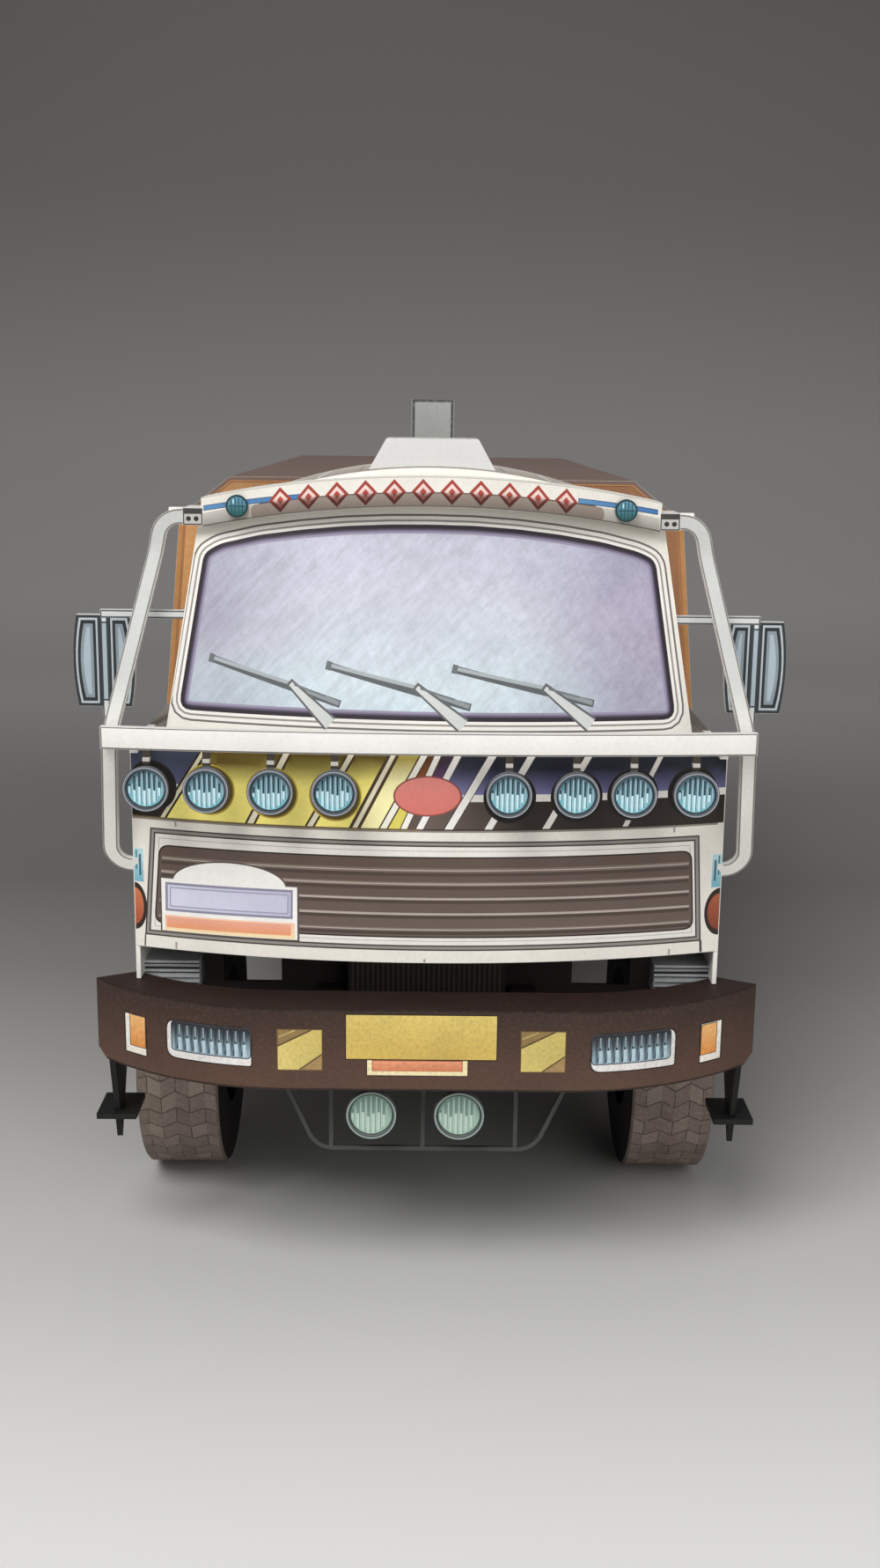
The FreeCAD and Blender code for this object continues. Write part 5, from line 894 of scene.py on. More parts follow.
# wipers: a thin blade from its tip past its clip to its root, and a pale arm that comes down over the lower
# seal
for (ax, az), (mx, mz), (bx, bz), foot in (((-25.7, 75.95), (-16.0, 73.35), (-10.3, 71.35), (-11.4, 69.15)),
                                           ((-11.85, 75.6), (-1.4, 73.25), (4.7, 71.2), (3.9, 69.15)),
                                           ((2.7, 75.45), (13.4, 73.2), (19.0, 71.5), (18.7, 69.15))):
    drawing += [(bar((ax, az), (bx, bz), 0.85), "#55595A"),
                (bar((ax + 0.15, az + 0.05), (mx, mz + 0.1), 0.42), "#A2A9AB"),
                (bar((mx, mz + 0.02), (bx - 0.15, bz + 0.08), 0.5), "#8A9092"),
                (bar((ax - 0.15, az + 0.05), (ax + 0.45, az - 0.1), 1.0), "#63686A"),
                (bar((mx - 0.3, mz + 0.3), foot, 0.95, 1.9), "#5B5E5E"),
                (bar((mx - 0.1, mz + 0.1), foot, 0.5, 1.4), "#C9CBC8"),
                (bar((mx + 0.3, mz), (mx + (bx - mx) * 0.7, mz + (bz - mz) * 0.7 + 0.25), 0.22), "#6C7173")]
print_sheet("windscreen_print", screen_place, drawing, material=glass_material(), pitch=1.2)

# Cab sides: flat card walls that fold in above the belt, cut round the wheel and lined with a rolled black
# strip. The print carries the band round the corner and adds a door, its handle and two side windows.
ARCH_ROUND, CAB_END_Y = 23.05, -43.55
WALL_Y, PRINT_Y0, PRINT_Y1, SIDE_BAND = -83.35, -83.3, CAB_END_Y - MARGIN, 65.55


def side_place(hand):
    """Side wall: v is the height and u the depth, counted to the right for someone who faces the wall."""
    def place(u, v):
        half = np.interp(v, [30.0, SHOULDER_Z, BELT_Z, TOP_Z], [FRONT[1], FRONT[1], BELT[1], TOP[1]])
        return np.stack([hand * half, hand * u, v], 1)
    return place


def outline_only(points, width, tint):
    """Thin closed line: one straight stroke along each side of an outline."""
    points = np.asarray(points, float)
    return [(bar(a, b, width), tint) for a, b in zip(points, np.roll(points, -1, 0))]


def framed(points, round_to, *bands):
    """Rounded outlines one in another, each grown by its distance in its own ink."""
    return [(rounded(grown(points, by), round_to), ink) for by, ink in bands]


def turned(drawing, hand):
    """The drawing as it is where hand is 1, and turned over from right to left where it is -1."""
    def over(place):
        """Point or points with each X times hand."""
        return np.asarray(place, float) * [hand, 1]
    return [(over(shape), ink if isinstance(ink, str) else (*ink[:2], over(ink[2]), over(ink[3])))
            for shape, ink in drawing]


turn = np.linspace(math.pi - math.acos(13.27 / ARCH_ROUND), math.acos(8.65 / ARCH_ROUND), 22)
arch = np.stack([AXLES["front"] + ARCH_ROUND * np.cos(turn), AXLE_Z + ARCH_ROUND * np.sin(turn)], 1)
wall = [(WALL_Y, 36.85)] + arch.tolist() + [(CAB_END_Y, 90.8), (-76.4, 90.8), (WALL_Y, BELT_Z)]
# painted shade: the grey-brown strip on the shoulder slope, and the band's blue and yellow fields darkening
# towards the top
drawing = [(wall, WHITE), (block(WALL_Y, SHOULDER_Z, CAB_END_Y, BELT_Z), "#8F867B"),
           (block(PRINT_Y0, BAND0, PRINT_Y1, SIDE_BAND), "#E4E0D8"),
           (block(PRINT_Y0, 61.4, PRINT_Y1, SIDE_BAND), ("#5E5C84", "#262B40", (0, 61.5), (0, 64.6))),
           (block(PRINT_Y0, BAND0, PRINT_Y1, 60.5), "#1B120C"),
           (block(PRINT_Y0, BAND0, -82.5, SIDE_BAND), "#17130F"),
           ([(-79.0, BAND0), (-57.0, BAND0), (-61.2, SIDE_BAND), (-82.9, SIDE_BAND)],
            ("#D9C84F", "#A08D2E", (0, 63.4), (0, 65.8)))]
for y, width, fill in ((-79.2, 0.8, CREAM), (-72.5, 0.7, CREAM), (-66.0, 0.7, CREAM), (-61.4, 0.9, "#F0ECDF"),
                       (-57.0, 1.0, "#EFECE6"), (-52.5, 0.9, "#E9E6DF"), (-47.5, 0.8, "#E2DED7")):
    y0, y1 = y - width / 2, y + width / 2
    drawing += [([(y0 - 0.25, BAND0), (y1 + 0.25, BAND0), (y1 - 3.95, SIDE_BAND), (y0 - 4.45, SIDE_BAND)],
                 LINE),
                ([(y0, BAND0), (y1, BAND0), (y1 - 4.2, SIDE_BAND), (y0 - 4.2, SIDE_BAND)], fill)]
door = [(-79.2, 44.0), (-73.0, 43.2), (-69.5, 42.4), (-66.0, 42.6), (-47.2, 42.8), (-47.2, 89.2),
        (-74.2, 89.2), (-79.4, 71.0)]
drawing += outline_only(door, 0.28, "#77706A")
window = [(-77.6, 71.6), (-49.2, 71.6), (-49.2, 87.6), (-73.2, 87.6)]
drawing += framed(window, 1.8, (0.45, "#6B6561"), (0.25, "#F0EDE7"), (0.0, "#2E2430"), (-0.5, "#6B5A75"),
                  (-0.8, "#A79EB8"))
drawing += framed(window, 1.4, (-1.1, ("#CBDDE4", "#BFB9CF", (-60.0, 73), (-64.0, 85))))
drawing += [(block(-72.9, 71.9, -72.5, 87.2), "#4A3A4A"),
            (rounded(block(-53.6, 67.0, -49.4, 68.2), 0.5), "#3A3734"),
            (rounded(block(-53.3, 67.25, -49.7, 67.95), 0.3), "#A7A9A8")]
lining = arch + [0, 0.55]
drawing += [(bar(a, b, 0.5), "#3B3532") for a, b in zip(lining[:-1], lining[1:])]
forward = [i for i in range(20) if math.cos(i * math.pi / 10) >= -0.1]
drawing += [(block(PRINT_Y0, 49.2, -82.5, 53.1), "#6FA9BC"),
            (oval(-83.1, 46.05, 1.7, 2.9, 20)[forward], "#2E2019"),
            (oval(-83.1, 46.05, 1.3, 2.1, 20)[forward], "#B4603C"),
            (block(-82.6, 38.3, -67.5, 38.6), "#A29C94")]
for hand, side in HANDS:
    print_sheet("cab_side_print_" + side, side_place(hand), turned(drawing, hand))

# Cab roof, hatch and back wall: an arched sheet glued over the walls, a folded white hatch with sloping
# sides, and a flat back with two small printed windows. All are white card with thin grey fold lines.
ROOF_HALF, CAB_BACK_Y = 27.4, -43.0
HATCH_TOP_Z, HATCH_TOP_HALF, HATCH_Y0, HATCH_Y1 = 101.1, 5.6, -71.2, -56.2


def roof_height(x):
    """Height of the roof's arc at x."""
    return ROOF_CENTRE + np.sqrt(ROOF_R ** 2 - np.asarray(x, float) ** 2)


def level(height):
    """Face seen from above: u is X, v is Y and height gives its Z from u."""
    return lambda u, v: np.stack([u, v, height(u)], 1)


across = np.linspace(-ROOF_HALF, ROOF_HALF, 29)
eaves_line = screen_place(across, roof_height(across) - 0.1)[:, :2] + [0, 0.25]
# the roof's print is painted shade towards the front: grey-brown behind the visor, paling towards the back
drawing = [(eaves_line.tolist() + [(ROOF_HALF, CAB_BACK_Y - 0.1), (-ROOF_HALF, CAB_BACK_Y - 0.1)],
            ("#A89C92", "#C9C2B8", (0, -78), (0, -50)))]
for x in (-22.0, -14.0, 14.0, 22.0):
    drawing += [(block(x - 0.15, -73.0, x + 0.15, -46.0), "#B9B3A9"),
                (block(x + 0.15, -73.0, x + 0.5, -46.0), "#F2EFE8")]
drawing += outline_only(block(-8.8, -72.8, 8.8, -54.6), 0.25, "#8F8982")
print_sheet("cab_roof_print", level(roof_height), drawing, pitch=3.0)
# the white hatch is inked pale grey, as is its top's print: painted shade, so its upward faces come out no
# brighter than the cab's front
dress(card("white_hatch_card_in_painted_shade", "#D4D3D0", grain=0.04, cloud=0.03), "roof_hatch")
drawing = [(block(-HATCH_TOP_HALF + MARGIN, HATCH_Y0 + 1.05, HATCH_TOP_HALF - MARGIN, HATCH_Y1 - 1.05),
            "#D2D1CD")]
drawing += outline_only(block(-4.6, HATCH_Y0 + 2.1, 4.6, HATCH_Y1 - 2.1), 0.18, "#A8A29A")
print_sheet("hatch_top_print", level(lambda u: np.full_like(u, HATCH_TOP_Z)), drawing, pitch=3.0)
back_edge = [(35.15, 41.05), (35.15, SHOULDER_Z), (30.8, BELT_Z), (27.65, 90.8)]
crown = np.stack([across * 0.995, roof_height(across) - 0.55], 1)[::-1]
drawing = [([(-h, z) for h, z in back_edge[::-1]] + back_edge + crown.tolist(), "#DFDAD0")]
for x0 in (-24.0, 8.0):
    pane = block(x0, 73.0, x0 + 16.0, 86.0)
    drawing += framed(pane, 1.5, (0.4, "#6B6561"), (0.0, "#2E2430"), (-0.5, "#6B5A75"))
    drawing += framed(pane, 1.2, (-0.8, ("#C6D6DE", "#BDB7CC", (x0, 74), (x0 + 16, 85))))
for z in (47.0, 53.0, 59.0, 65.0):
    drawing += [(block(-33.0, z, -4.0, z + 0.25), "#A9A39A"), (block(4.0, z, 33.0, z + 0.25), "#A9A39A")]
print_sheet("cab_back_print", upright(CAB_BACK_Y, -1), drawing, pitch=3.0)

# Cab floor and steps: a dark floor that is hardly seen, and small treads that stand out at the corners.
# The treads are cut from grey card ruled with level lines 0.6 mm apart.
dress(card("dark_floor_card", "#45403C", grain=0.12, cloud=0.1, speckle="#5A544F"), "cab_floor")
step_card = card("ridged_grey_card", "#C9CBCB", grain=0.12, cloud=0.12, speckle="#DADCDC", speckle_share=0.5)
spot = add(step_card, "TexCoord").outputs["Object"]
height = add(step_card, "SeparateXYZ", links={"Vector": spot}).outputs["Z"]
ridge = add(step_card, "Math", {1: 0.31 * MM}, {0: height}, operation="PINGPONG")
shade = add(step_card, "MapRange", {"From Min": 0.05 * MM, "From Max": 0.13 * MM}, {"Value": ridge})
taken, ink = ink_of(step_card)
ridged = add(step_card, "Mix", {6: linear("#2C2D2E")}, {0: shade, 7: ink}, data_type="RGBA")
step_card.node_tree.links.new(ridged.outputs[2], taken)
dress(step_card, "cab_steps")

# Sun visor: an upright bowed strip over the screen, white with a thin blue line towards each end and a plain
# row of red lozenges between them. A small round lamp with a crossed teal lens is glued on at each end.
VISOR_Y, VISOR_HALF, VISOR_BOW, VISOR_FOOT, VISOR_ARCH = -82.6, 27.0, 4.4, 93.65, 2.9
VISOR_HIGH, VISOR_SHADE_TOP, VISOR_END, GEM_PITCH, GEM_Z = 3.45, 1.6, 26.9, 3.3, 1.72
VISOR_LAMP_X, THIN = 22.6, 0.03
dress(white_card, "visor")


def visor_place(u, v):
    """Visor face: bowed in plan and arched in front view; v is the height above its lower edge."""
    return np.stack([u, VISOR_Y + sag(u, VISOR_HALF, VISOR_BOW),
                     VISOR_FOOT - sag(u, VISOR_HALF, VISOR_ARCH) + v], 1)


# painted shade: the lower part of the face, up to about half its height, is grey-brown, darkest at its foot
# and in its middle, with a dark line along its top
drawing = [
    (block(-VISOR_END, THIN, VISOR_END, VISOR_HIGH - THIN), "#E6E1D8"),
    (block(-VISOR_END, THIN, VISOR_END, VISOR_SHADE_TOP), ("#8F8B84", "#C4BFB6", (0, 0), (0, VISOR_SHADE_TOP))),
    (rounded(block(-21.0, THIN, 20.0, VISOR_SHADE_TOP), 0.7), ("#72665C", "#93877C", (0, 0), (0, VISOR_SHADE_TOP))),
    (block(-VISOR_END, THIN, VISOR_END, 0.2), "#5F5954"),
    (block(-20.0, VISOR_SHADE_TOP - 0.06, 19.0, VISOR_SHADE_TOP + 0.08), "#5B534D")]
for x0, z0, x1, z1 in ((-26.7, 1.85, -14.6, 1.5), (16.9, 1.62, 26.5, 1.95)):
    line = np.array([(x0, z0), (x1, z1), (x1, z1 + 0.62), (x0, z0 + 0.62)])
    drawing += [(line, "#2E4666"), (grown(line, -0.08), ("#5B8CB8", "#3F73AB", (x0, 0), (x1, 0)))]
gem = np.array([(-1.35, 0), (0, -1.45), (1.35, 0), (0, 1.45)])
# each lozenge is dark red below its middle, painted shade like the face's lower part
for x in np.arange(-17.5, 16.5, GEM_PITCH):
    drawing += [(gem * scale + [x, GEM_Z], (first, last, (0, 1.45), (0, 1.75))) for scale, first, last in (
        (1.0, "#471611", "#A33F35"), (0.66, "#7A4A40", "#E9CFC7"), (0.3, "#54201A", "#B5493D"))]
drawing.append((block(-VISOR_END, VISOR_HIGH - 0.14, VISOR_END, VISOR_HIGH - THIN), "#BDB7AE"))
print_sheet("visor_print", visor_place, drawing, pitch=1.0)
dress(card("dark_teal_lamp_card", "#2C4A4C", grain=0.1, cloud=0.08), "visor_lamps")
_, lamp_y, lamp_z = visor_place(np.array([VISOR_LAMP_X]), VISOR_HIGH / 2)[0]
lens = round_print((1.27, 28, "#1D3336"), (1.08, 28, ("#5B8EA6", "#1F5754", (0, 0.5), (0, -0.6))))
for x in (-0.62, -0.2, 0.22, 0.64):
    reach = math.sqrt(1.02 ** 2 - x ** 2)
    lens.append((block(x - 0.05, -reach, x + 0.05, reach), "#1F3A3E"))
lens += [(block(-1.0, -0.06, 1.0, 0.06), "#1F3A3E"), (block(-0.5, 0.3, -0.3, 0.8), "#A5D3D4")]
for hand, side in HANDS:
    print_sheet("visor_lens_" + side, upright(lamp_y - 0.7, 1, hand * VISOR_LAMP_X, lamp_z), lens,
                pitch=2.0, lift=0.02)

# Air intake: an upright folded box behind the cab, printed mid grey inside a dark outline.
# Its upper end carries slots; it stands clear of the roof.
INTAKE_HALF, INTAKE_FRONT, INTAKE_BACK, INTAKE_Z0, INTAKE_Z1 = 2.85, -43.0, -39.4, 59.5, 106.1
intake_card = card("mid_grey_printed_card", "#848684", grain=0.08, cloud=0.08, speckle="#9A9C99")
intake_print = card("mid_grey_print", None, grain=0.08, cloud=0.08, speckle="#9B9D9A", speckle_share=0.3)
dress(intake_card, "intake_stack")


def boxed(x0, z0, x1, z1, edge, tint, width=0.22):
    """Filled rectangle in a thin edge."""
    return [(block(x0, z0, x1, z1), edge), (block(x0 + width, z0 + width, x1 - width, z1 - width), tint)]


GREY = ("#8B8D8A", "#A0A29E", (0, 98), (0, 105))
x1, z0, z1 = INTAKE_HALF - THIN, INTAKE_Z0 + MARGIN, INTAKE_Z1 - THIN
drawing = boxed(-x1, 98.0, x1, z1, "#4B4D4A", GREY, 0.38)
print_sheet("intake_front_print", upright(INTAKE_FRONT), drawing, material=intake_print)
drawing = boxed(-x1, z0, x1, z1, "#383836", "#858784")
drawing += [(block(-2.0, z, 2.0, z + 0.45), "#3E3E3C") for z in np.arange(92.0, 104.0, 1.3)]
print_sheet("intake_back_print", upright(INTAKE_BACK, -1), drawing, material=intake_print,
            pitch=3.0)
drawing = boxed(-1.77, z0, 1.77, z1, "#383836", "#7E807E")
drawing += [(block(-1.1, z, 1.1, z + 0.4), "#4A4A48") for z in np.arange(99.5, 104.5, 1.2)]
for hand, side in HANDS:
    face = flank(hand * INTAKE_HALF, hand, (INTAKE_FRONT + INTAKE_BACK) / 2)
    print_sheet("intake_side_print_" + side, face, drawing, material=intake_print, pitch=3.0)

# Guard: two bent side loops and a bowed cross bar, cut from thick white laminated card and left unprinted but
# for a thin pencil line along its edges; their prints add painted shade, grey over the loops' upper runs and
# faint at the bar's foot. Small clamps with two bolt heads hold the loops at the roof's corners.
dress(card("white_laminated_card", "#E9E7E1", grain=0.03, cloud=0.03, rough=0.5), "guard_bar",
      "guard_loop_right", "guard_loop_left", "guard_brackets")
BAR_Z0, BAR_Z1, CLAMP_Y = 66.75, 69.3, -78.3
LOOP_SEEN = ((29.2, 92.0), (31.7, 92.0), (36.3, 68.025), (37.9, 51.15), (34.6, 51.15))
LOOP_BENDS, LOOP_WIDTH, LOOP_FOOT = (2.6, 4.2, 2.4), 1.75, 35.3
LOOP_BESIDE = ((-77.8, 93.75), (-77.8, 87.8), (-89.786, 68.025), (-82.3, 49.4))
LOOP_SIDE_BENDS, LOOP_BOARD = (4.2, 4.2), 1.0


def bar_place(u, v):
    """Cross bar's face: one long level arc; v is the height."""
    return np.stack([u, BAR_Y + sag(u, BAR_HALF, BAR_BOW), v], 1)


def bent_line(points, bends, aside, steps=9):
    """Line moved aside by a distance and filleted: each corner becomes an arc of its bend radius, which
    shrinks or grows by the same distance. A positive distance lies to the right of the way along the line."""
    points = np.asarray(points, float)
    way = np.diff(points, axis=0)
    way /= np.hypot(way[:, 0], way[:, 1])[:, None]
    right = np.stack([way[:, 1], -way[:, 0]], 1)
    line = [points[0] + right[0] * aside]
    for corner, before, after, radius in zip(points[1:-1], way[:-1], way[1:], bends):
        turn = math.atan2(before[0] * after[1] - before[1] * after[0], before @ after)
        hand = math.copysign(1, turn)
        centre = corner + (after - before) / math.hypot(*(after - before)) * (radius / math.cos(turn / 2))
        reach = radius + hand * aside
        start = np.array([before[1], -before[0]]) * hand
        for share in np.linspace(0, turn, steps):
            c, s = math.cos(share), math.sin(share)
            line.append(centre + reach * np.array([start[0] * c - start[1] * s, start[0] * s + start[1] * c]))
    line.append(points[-1] + right[-1] * aside)
    return np.array(line)


loop_front = bent_line(LOOP_BESIDE, LOOP_SIDE_BENDS, LOOP_BOARD / 2)
loop_front = loop_front[np.argsort(loop_front[:, 1])]


def loop_place(u, v):
    """Front face of the bent loop: its depth depends on the height alone."""
    return np.stack([u, np.interp(v, loop_front[:, 1], loop_front[:, 0]), v], 1)


def ribbon(inset):
    """Outline of the loop in front view, its sides moved in by inset and its foot cut at the cab's wall."""
    half = LOOP_WIDTH / 2 - inset
    sides = np.concatenate([bent_line(LOOP_SEEN, LOOP_BENDS, half),
                            bent_line(LOOP_SEEN, LOOP_BENDS, -half)[::-1]])
    (x0, z0), (x1, z1) = LOOP_SEEN[3:]
    foot = (sides[:, 1] < 55) & (sides[:, 0] < LOOP_FOOT)
    sides[foot, 1] += (LOOP_FOOT - sides[foot, 0]) * ((z1 - z0) / (x1 - x0))
    sides[foot, 0] = LOOP_FOOT
    return sides


# the bar's fill is a little darker at its foot: painted shade
drawing = [(block(-37.05, BAR_Z0 + THIN, 37.05, BAR_Z1 - THIN), "#6F6A65"),
           (block(-36.9, BAR_Z0 + 0.2, 36.9, BAR_Z1 - 0.14),
            ("#DEDCD6", "#EEECE8", (0, BAR_Z0), (0, BAR_Z1)))]
print_sheet("guard_bar_print", bar_place, drawing, pitch=2.0)
# the loop's fill greys upwards: painted shade over its upper run
loop = [(ribbon(THIN), "#77726C"), (ribbon(0.2), ("#E6E3DD", "#C2C3BF", (0, 66), (0, 74)))]
clamp = boxed(26.85, 91.03, 29.15, 92.97, "#4E4B48", "#B9B7B2", 0.15)
clamp.append((block(27.0, 92.3, 29.0, 92.85), "#3E3B39"))
clamp += [(oval(x, 91.75, 0.3, 0.3, 12), "#2E2C2A") for x in (27.6, 28.5)]
for hand, side in HANDS:
    print_sheet("guard_loop_print_" + side, loop_place, turned(loop, hand), pitch=1.0)
    print_sheet("guard_clamp_print_" + side, upright(CLAMP_Y), turned(clamp, hand), pitch=3.0)

# Mirrors: one flat laminated piece a side with two heads on a tube, hung on a level arm.
# Both faces are printed: pale blue-grey glass or shell fields inside dark outlines, the cut edges white.
dress(card("white_mirror_card", "#D8D8D4", grain=0.04, cloud=0.04), "mirror_right", "mirror_left")
MIRROR_Z0, MIRROR_Z1, ARM_X, ARM_Z0, ARM_Z1 = 69.4, 80.4, 28.3, 80.0, 81.0
TUBE_X0, TUBE_X1, TUBE_Z0, MIRROR_IN, MIRROR_OUT = 38.3, 39.2, 68.2, 35.7, 42.0
MIRROR_FACES = (("front", -78.6, 1, "#87939A", "#A9B6BE"), ("back", -77.6, -1, "#C3CFD8", "#DCE8F0"))


def head_drawing(x0, x1, low, high):
    """One mirror head: an outline that bulges at x1, a pale rim, a dark inner line and a glass field."""
    way = 1 if x1 > x0 else -1
    drawing = []
    for inset, tint in ((0.04, "#2F3437"), (0.3, "#B4BBBF"), (0.52, "#282D31"), (0.86, low), (1.2, high)):
        z0, z1 = MIRROR_Z0 + inset * 1.25, MIRROR_Z1 - inset * 1.25
        middle, reach = (z0 + z1) / 2, (z1 - z0) / 2
        free = [(x1 + way * (0.5 * (1 - s * s) - inset), middle + reach * s) for s in np.linspace(-1, 1, 9)]
        drawing.append(([(x0 + way * inset, z1), (x0 + way * inset, z0)] + free, tint))
    return drawing


def bulge(x, way):
    """Free side of a head, 0.5 mm proud in the middle: upwards for the outer head, else downwards."""
    return [(x + way * 0.5 * (1 - s * s), MIRROR_Z0 + 5.5 + 5.46 * s) for s in np.linspace(-way, way, 9)]


outline = [(ARM_X, ARM_Z1 - THIN), (ARM_X, ARM_Z0 + THIN), (MIRROR_IN, ARM_Z0 + THIN)] + bulge(MIRROR_IN, -1)
outline += [(TUBE_X0 + THIN, MIRROR_Z0 + 0.04), (TUBE_X0 + THIN, TUBE_Z0 + THIN),
            (TUBE_X1 - THIN, TUBE_Z0 + THIN), (TUBE_X1 - THIN, MIRROR_Z0 + 0.04)] + bulge(MIRROR_OUT, 1)
outline += [(TUBE_X1 - THIN, MIRROR_Z1 - 0.04), (TUBE_X1 - THIN, ARM_Z1 - THIN)]
for hand, side in HANDS:
    for label, face_y, way, low, high in MIRROR_FACES:
        drawing = [(outline, "#2F3437")]
        drawing += head_drawing(TUBE_X1 + 0.02, MIRROR_OUT, low, high)
        drawing += head_drawing(TUBE_X0 - 0.02, MIRROR_IN, low, high)
        drawing += [(block(TUBE_X0, TUBE_Z0 + THIN, TUBE_X1, ARM_Z1 - 0.04), "#3B4144"),
                    (block(TUBE_X0 + 0.2, MIRROR_Z0 + 0.9, TUBE_X1 - 0.2, MIRROR_Z1 - 1.0), "#A9B6BE"),
                    (block(TUBE_X0 + 0.2, TUBE_Z0 + THIN, TUBE_X1 - 0.2, MIRROR_Z0 + 0.7), "#D5D6D3"),
                    (block(TUBE_X0 + 0.2, MIRROR_Z1 - 0.8, TUBE_X1 - 0.2, ARM_Z1 - 0.2), "#D5D6D3"),
                    (block(ARM_X, ARM_Z0 + THIN, TUBE_X1, ARM_Z1 - THIN), "#5A5D5E"),
                    (block(ARM_X, ARM_Z0 + 0.24, TUBE_X1 - 0.2, ARM_Z1 - 0.2), "#D2D3D0")]
        print_sheet(f"mirror_{label}_print_{side}", upright(face_y, way), turned(drawing, hand * way),
                    pitch=2.0)

# Load body: a bed board with four printed side boards, timber brown with plank lines, iron posts and latches.
# The boards are laminated card; the posts are strips glued on.
bed_card = card("timber_brown_printed_card", "#8A6242", grain=0.1, cloud=0.12, speckle="#6E4B32",
                speckle_share=0.5)
timber_print = card("timber_print", None, grain=0.09, cloud=0.1, speckle="#6E4B32", speckle_share=0.3,
                    speckle_size=0.7)
dress(bed_card, "bed_floor", "drop_side_right", "drop_side_left", "headboard", "tailgate")
BODY_Y0, BODY_Y1, BODY_HALF, BOARD_BASE, BOARD_TOP = -38.0, 94.1, 37.6, 39.5, 57.0
SIDE_X, POST, POST_SHARES = 38.2, 2.0, (0.0, 0.333, 0.667, 1.0)
IRON, IRON_EDGE = "#5A4C42", "#2B211A"


def planks(x0, x1, seed):
    """Five level planks with dark gaps and a slightly different brown each."""
    tone = np.random.default_rng(seed)
    high = (BOARD_TOP - BOARD_BASE - 2 * MARGIN) / 5
    drawing = [(block(x0, BOARD_BASE + MARGIN, x1, BOARD_TOP - MARGIN), "#4A3424")]
    for k in range(5):
        z = BOARD_BASE + MARGIN + k * high
        tint = ("#9A6E4A", "#8C6142", "#A3764F", "#906544")[tone.integers(4)]
        drawing += [(block(x0 + 0.1, z + 0.15, x1 - 0.1, z + high - 0.15), tint),
                    (block(x0 + 0.1, z + high - 0.45, x1 - 0.1, z + high - 0.2), "#B68A62")]
    return drawing


places = [BODY_Y0 + (BODY_Y1 - BODY_Y0 - POST) * share for share in POST_SHARES]
for hand, side in HANDS:
    for index, (start, end) in enumerate(zip(places[:-1], places[1:])):
        y0, y1 = sorted((hand * (start + POST + MARGIN), hand * (end - MARGIN)))
        drawing = planks(y0, y1, 60 + index)
        middle = (y0 + y1) / 2
        for y in (middle - 9.0, middle + 9.0):
            drawing += boxed(y - 0.7, BOARD_BASE + 1.0, y + 0.7, BOARD_TOP - 1.0, IRON_EDGE, IRON, 0.15)
        print_sheet(f"drop_side_print_{side}_{index + 1}", flank(hand * SIDE_X, hand), drawing,
                    material=timber_print, pitch=4.0)
for label, face_y, way in (("headboard", BODY_Y0, 1), ("tailgate", BODY_Y1, -1)):
    drawing = planks(-BODY_HALF + MARGIN, BODY_HALF - MARGIN, 70)
    if way < 0:
        for x in (-26.0, 0.0, 26.0):
            drawing += boxed(x - 0.8, BOARD_BASE + 0.8, x + 0.8, BOARD_TOP - 0.8, IRON_EDGE, IRON, 0.15)
        for x in (-36.2, 35.0):
            drawing += boxed(x, BOARD_TOP - 4.6, x + 1.2, BOARD_TOP - 1.6, IRON_EDGE, "#8A8078", 0.15)
        drawing += boxed(8.0, BOARD_BASE + 2.6, 20.0, BOARD_BASE + 7.4, "#4C3A22", "#E3C864", 0.25)
    print_sheet(label + "_print", upright(face_y, way), drawing, material=timber_print, pitch=4.0)

# Tilt: the load body's cover, folded from one sheet printed orange-tan like canvas, with darker hems, seams
# over the hoops and a lacing line with eyelets low down. The flat top is a grey-brown sheet of its own.
tilt_card = card("orange_tan_printed_card", "#BC8650", grain=0.07, cloud=0.1)
canvas_print = card("orange_tan_canvas_print", None, grain=0.08, cloud=0.1, streak=0.03, speckle="#A36F3C",
                    speckle_share=0.25)
dress(tilt_card, "tilt_side_right", "tilt_side_left", "tilt_front", "tilt_rear")
TILT_FOOT, TILT_FOLD, TILT_FOOT_Z, TILT_FOLD_Z, TILT_TOP_HALF, TILT_TOP_Z = 38.6, 35.7, 57.0, 89.5, 28.5, 95.2
DARK_TAN, PALE_TAN, SEAM = "#8A5C30", "#D8A66E", "#A87442"
# the front canvas pales to the left and darkens to the right: painted light and shade from the lamp on the
# left
FRONT_CANVAS_PAINTED_LIGHT = ("#D09A62", "#9A6B4A", (-36, 0), (36, 0))
TILT_ENDS = (("front", BODY_Y0, 1, "#A8744A", FRONT_CANVAS_PAINTED_LIGHT),
             ("rear", BODY_Y1, -1, DARK_TAN, ("#B97F46", "#C99259", (0, 58), (0, 93))))


def tilt_side_place(hand):
    """Cover's side: its half width falls evenly from the foot to the fold."""
    def place(u, v):
        half = TILT_FOOT - (TILT_FOOT - TILT_FOLD) * (v - TILT_FOOT_Z) / (TILT_FOLD_Z - TILT_FOOT_Z)
        return np.stack([hand * half, hand * u, v], 1)
    return place


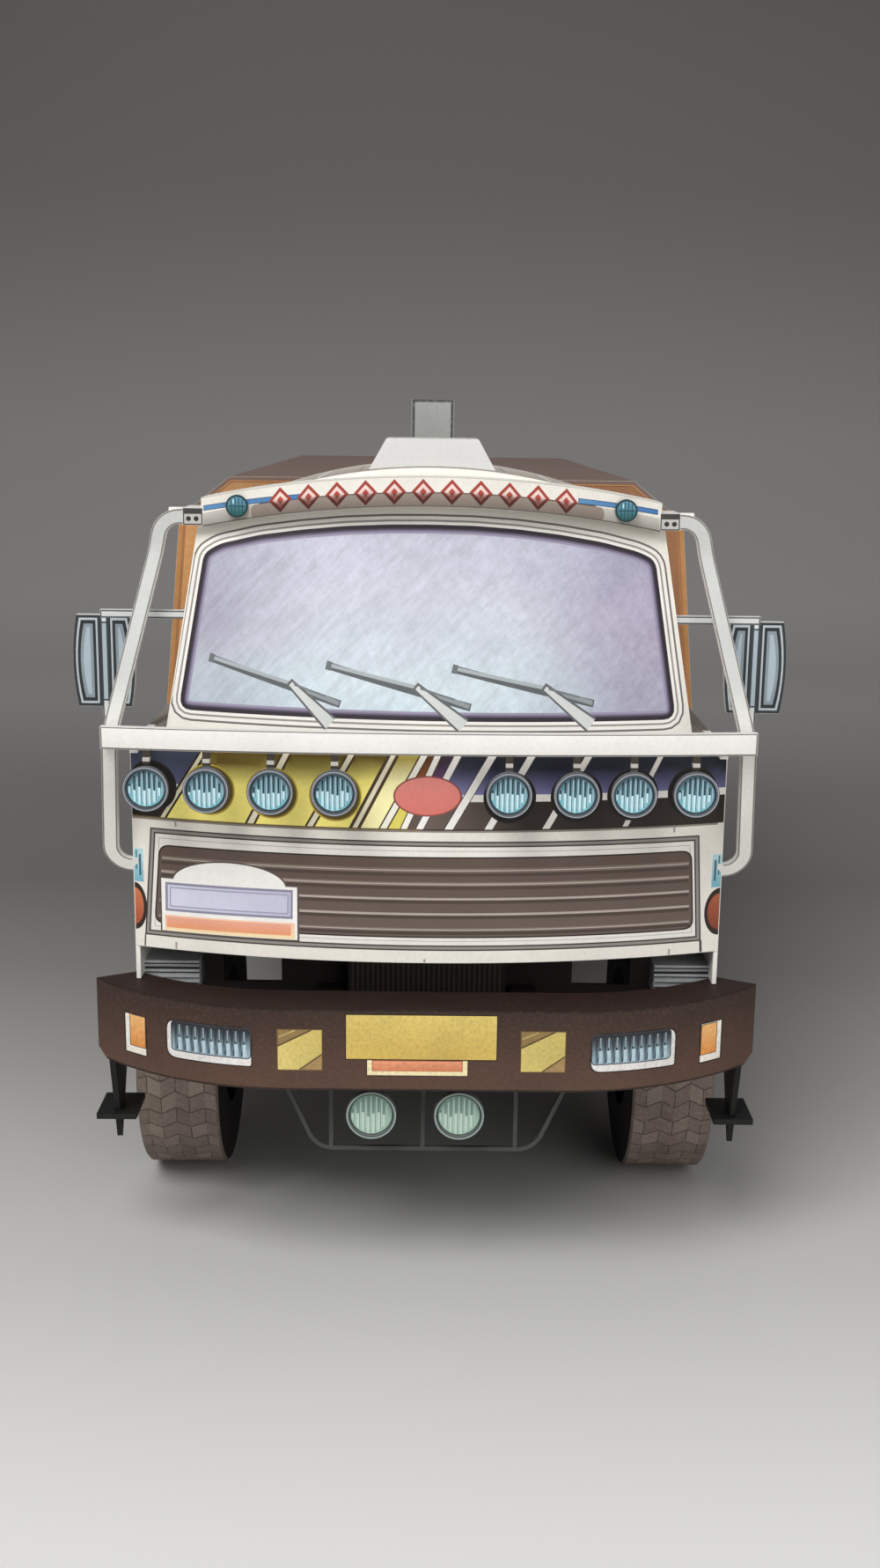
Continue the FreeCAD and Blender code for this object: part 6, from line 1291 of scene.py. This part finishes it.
z0, z1 = TILT_FOOT_Z + MARGIN, TILT_FOLD_Z - MARGIN
for hand, side in HANDS:
    y0, y1 = sorted((hand * (BODY_Y0 + MARGIN), hand * (BODY_Y1 - MARGIN)))
    drawing = [(block(y0, z0, y1, z1), ("#BC8248", "#CB955C", (0, 58), (0, 87))),
               (block(y0, z0, y1, TILT_FOOT_Z + 0.7), DARK_TAN),
               (block(y0, TILT_FOOT_Z + 3.2, y1, TILT_FOOT_Z + 3.4), "#9A6A3B")]
    for y in np.linspace(y0 + 2.2, y1 - 2.2, 25):
        drawing += [(oval(y, TILT_FOOT_Z + 2.0, 0.45, 0.45, 12), "#4A3420"),
                    (oval(y, TILT_FOOT_Z + 2.0, 0.22, 0.22, 8), "#D9D2C4")]
    for y in np.linspace(y0, y1, 6)[1:-1]:
        drawing += [(block(y + start, TILT_FOOT_Z + 3.4, y + end, z1), tint) for start, end, tint in (
            (-0.9, -0.5, SEAM), (-0.5, 0.5, PALE_TAN), (0.5, 0.9, SEAM))]
    print_sheet("tilt_side_print_" + side, tilt_side_place(hand), drawing, material=canvas_print,
                pitch=5.0)
end_sheet = [(-38.0, 57.05), (38.0, 57.05), (35.15, 89.3), (28.2, 94.6), (-28.2, 94.6), (-35.15, 89.3)]
flap = [(-31.2, 86.0), (31.2, 86.0), (31.2, 92.2), (28.2, 94.55), (-28.2, 94.55), (-31.2, 92.2)]
for label, face_y, way, hem, canvas in TILT_ENDS:
    drawing = [(end_sheet, hem), (grown(end_sheet, -0.45), canvas)]
    for x in (-20.0, 0.0, 20.0):
        drawing += [(block(x - 0.5, 58.0, x + 0.5, 94.0), SEAM),
                    (block(x - 0.3, 58.0, x + 0.3, 94.0), PALE_TAN)]
    if way > 0:
        # the flap pales to the left and darkens to the right, painted light and shade as on the front canvas
        drawing += [(flap, "#7A5638"), (grown(flap, -0.12), ("#B88A5C", "#94694A", (-30, 0), (30, 0)))]
    else:
        for x in (-19.0, 19.0):
            drawing += boxed(x - 1.2, 60.0, x + 1.2, 78.0, "#4A3420", "#6B4A2C", 0.2)
            drawing += boxed(x - 1.6, 68.0, x + 1.6, 70.4, "#2E241C", "#C8C2B6", 0.2)
    print_sheet(f"tilt_{label}_print", upright(face_y, way), drawing, material=canvas_print,
                pitch=5.0)

# Top of the tilt: a sheet of its own, printed grey-brown on the flat and darker orange-brown over the
# chamfers, with cross seams over the hoops.
dress(card("grey_brown_printed_card", "#7A6459", grain=0.09, cloud=0.1), "tilt_roof")
roof_print = card("grey_brown_print", None, grain=0.1, cloud=0.1, streak=0.05, speckle="#8F7A6E",
                  speckle_share=0.35)
TILT_EDGE = TILT_TOP_HALF + math.hypot(TILT_FOLD - TILT_TOP_HALF, TILT_TOP_Z - TILT_FOLD_Z)


def tilt_roof_place(u, v):
    """Cover's top: u runs over the left chamfer, the flat and the right chamfer as one developed width."""
    stops = [0, TILT_TOP_HALF, TILT_EDGE]
    x = np.sign(u) * np.interp(np.abs(u), stops, [0, TILT_TOP_HALF, TILT_FOLD])
    return np.stack([x, v, np.interp(np.abs(u), stops, [TILT_TOP_Z, TILT_TOP_Z, TILT_FOLD_Z])], 1)


y0, y1 = BODY_Y0 + MARGIN, BODY_Y1 - MARGIN
drawing = [(block(-TILT_EDGE + MARGIN, y0, TILT_EDGE - MARGIN, y1), "#8A5C44"),
           (block(-TILT_TOP_HALF, y0, TILT_TOP_HALF, y1), "#77625A")]
for y in np.linspace(BODY_Y0, BODY_Y1, 6)[1:-1]:
    drawing += [(block(-TILT_EDGE + 0.1, y - half, TILT_EDGE - 0.1, y + half), tint)
                for half, tint in ((0.6, "#5E4C44"), (0.35, "#8A766C"))]
drawing.append((block(-TILT_TOP_HALF + 0.2, y0, TILT_TOP_HALF - 0.2, BODY_Y0 + 0.9), "#5B463C"))
print_sheet("tilt_roof_print", tilt_roof_place, drawing, material=roof_print, pitch=5.0)
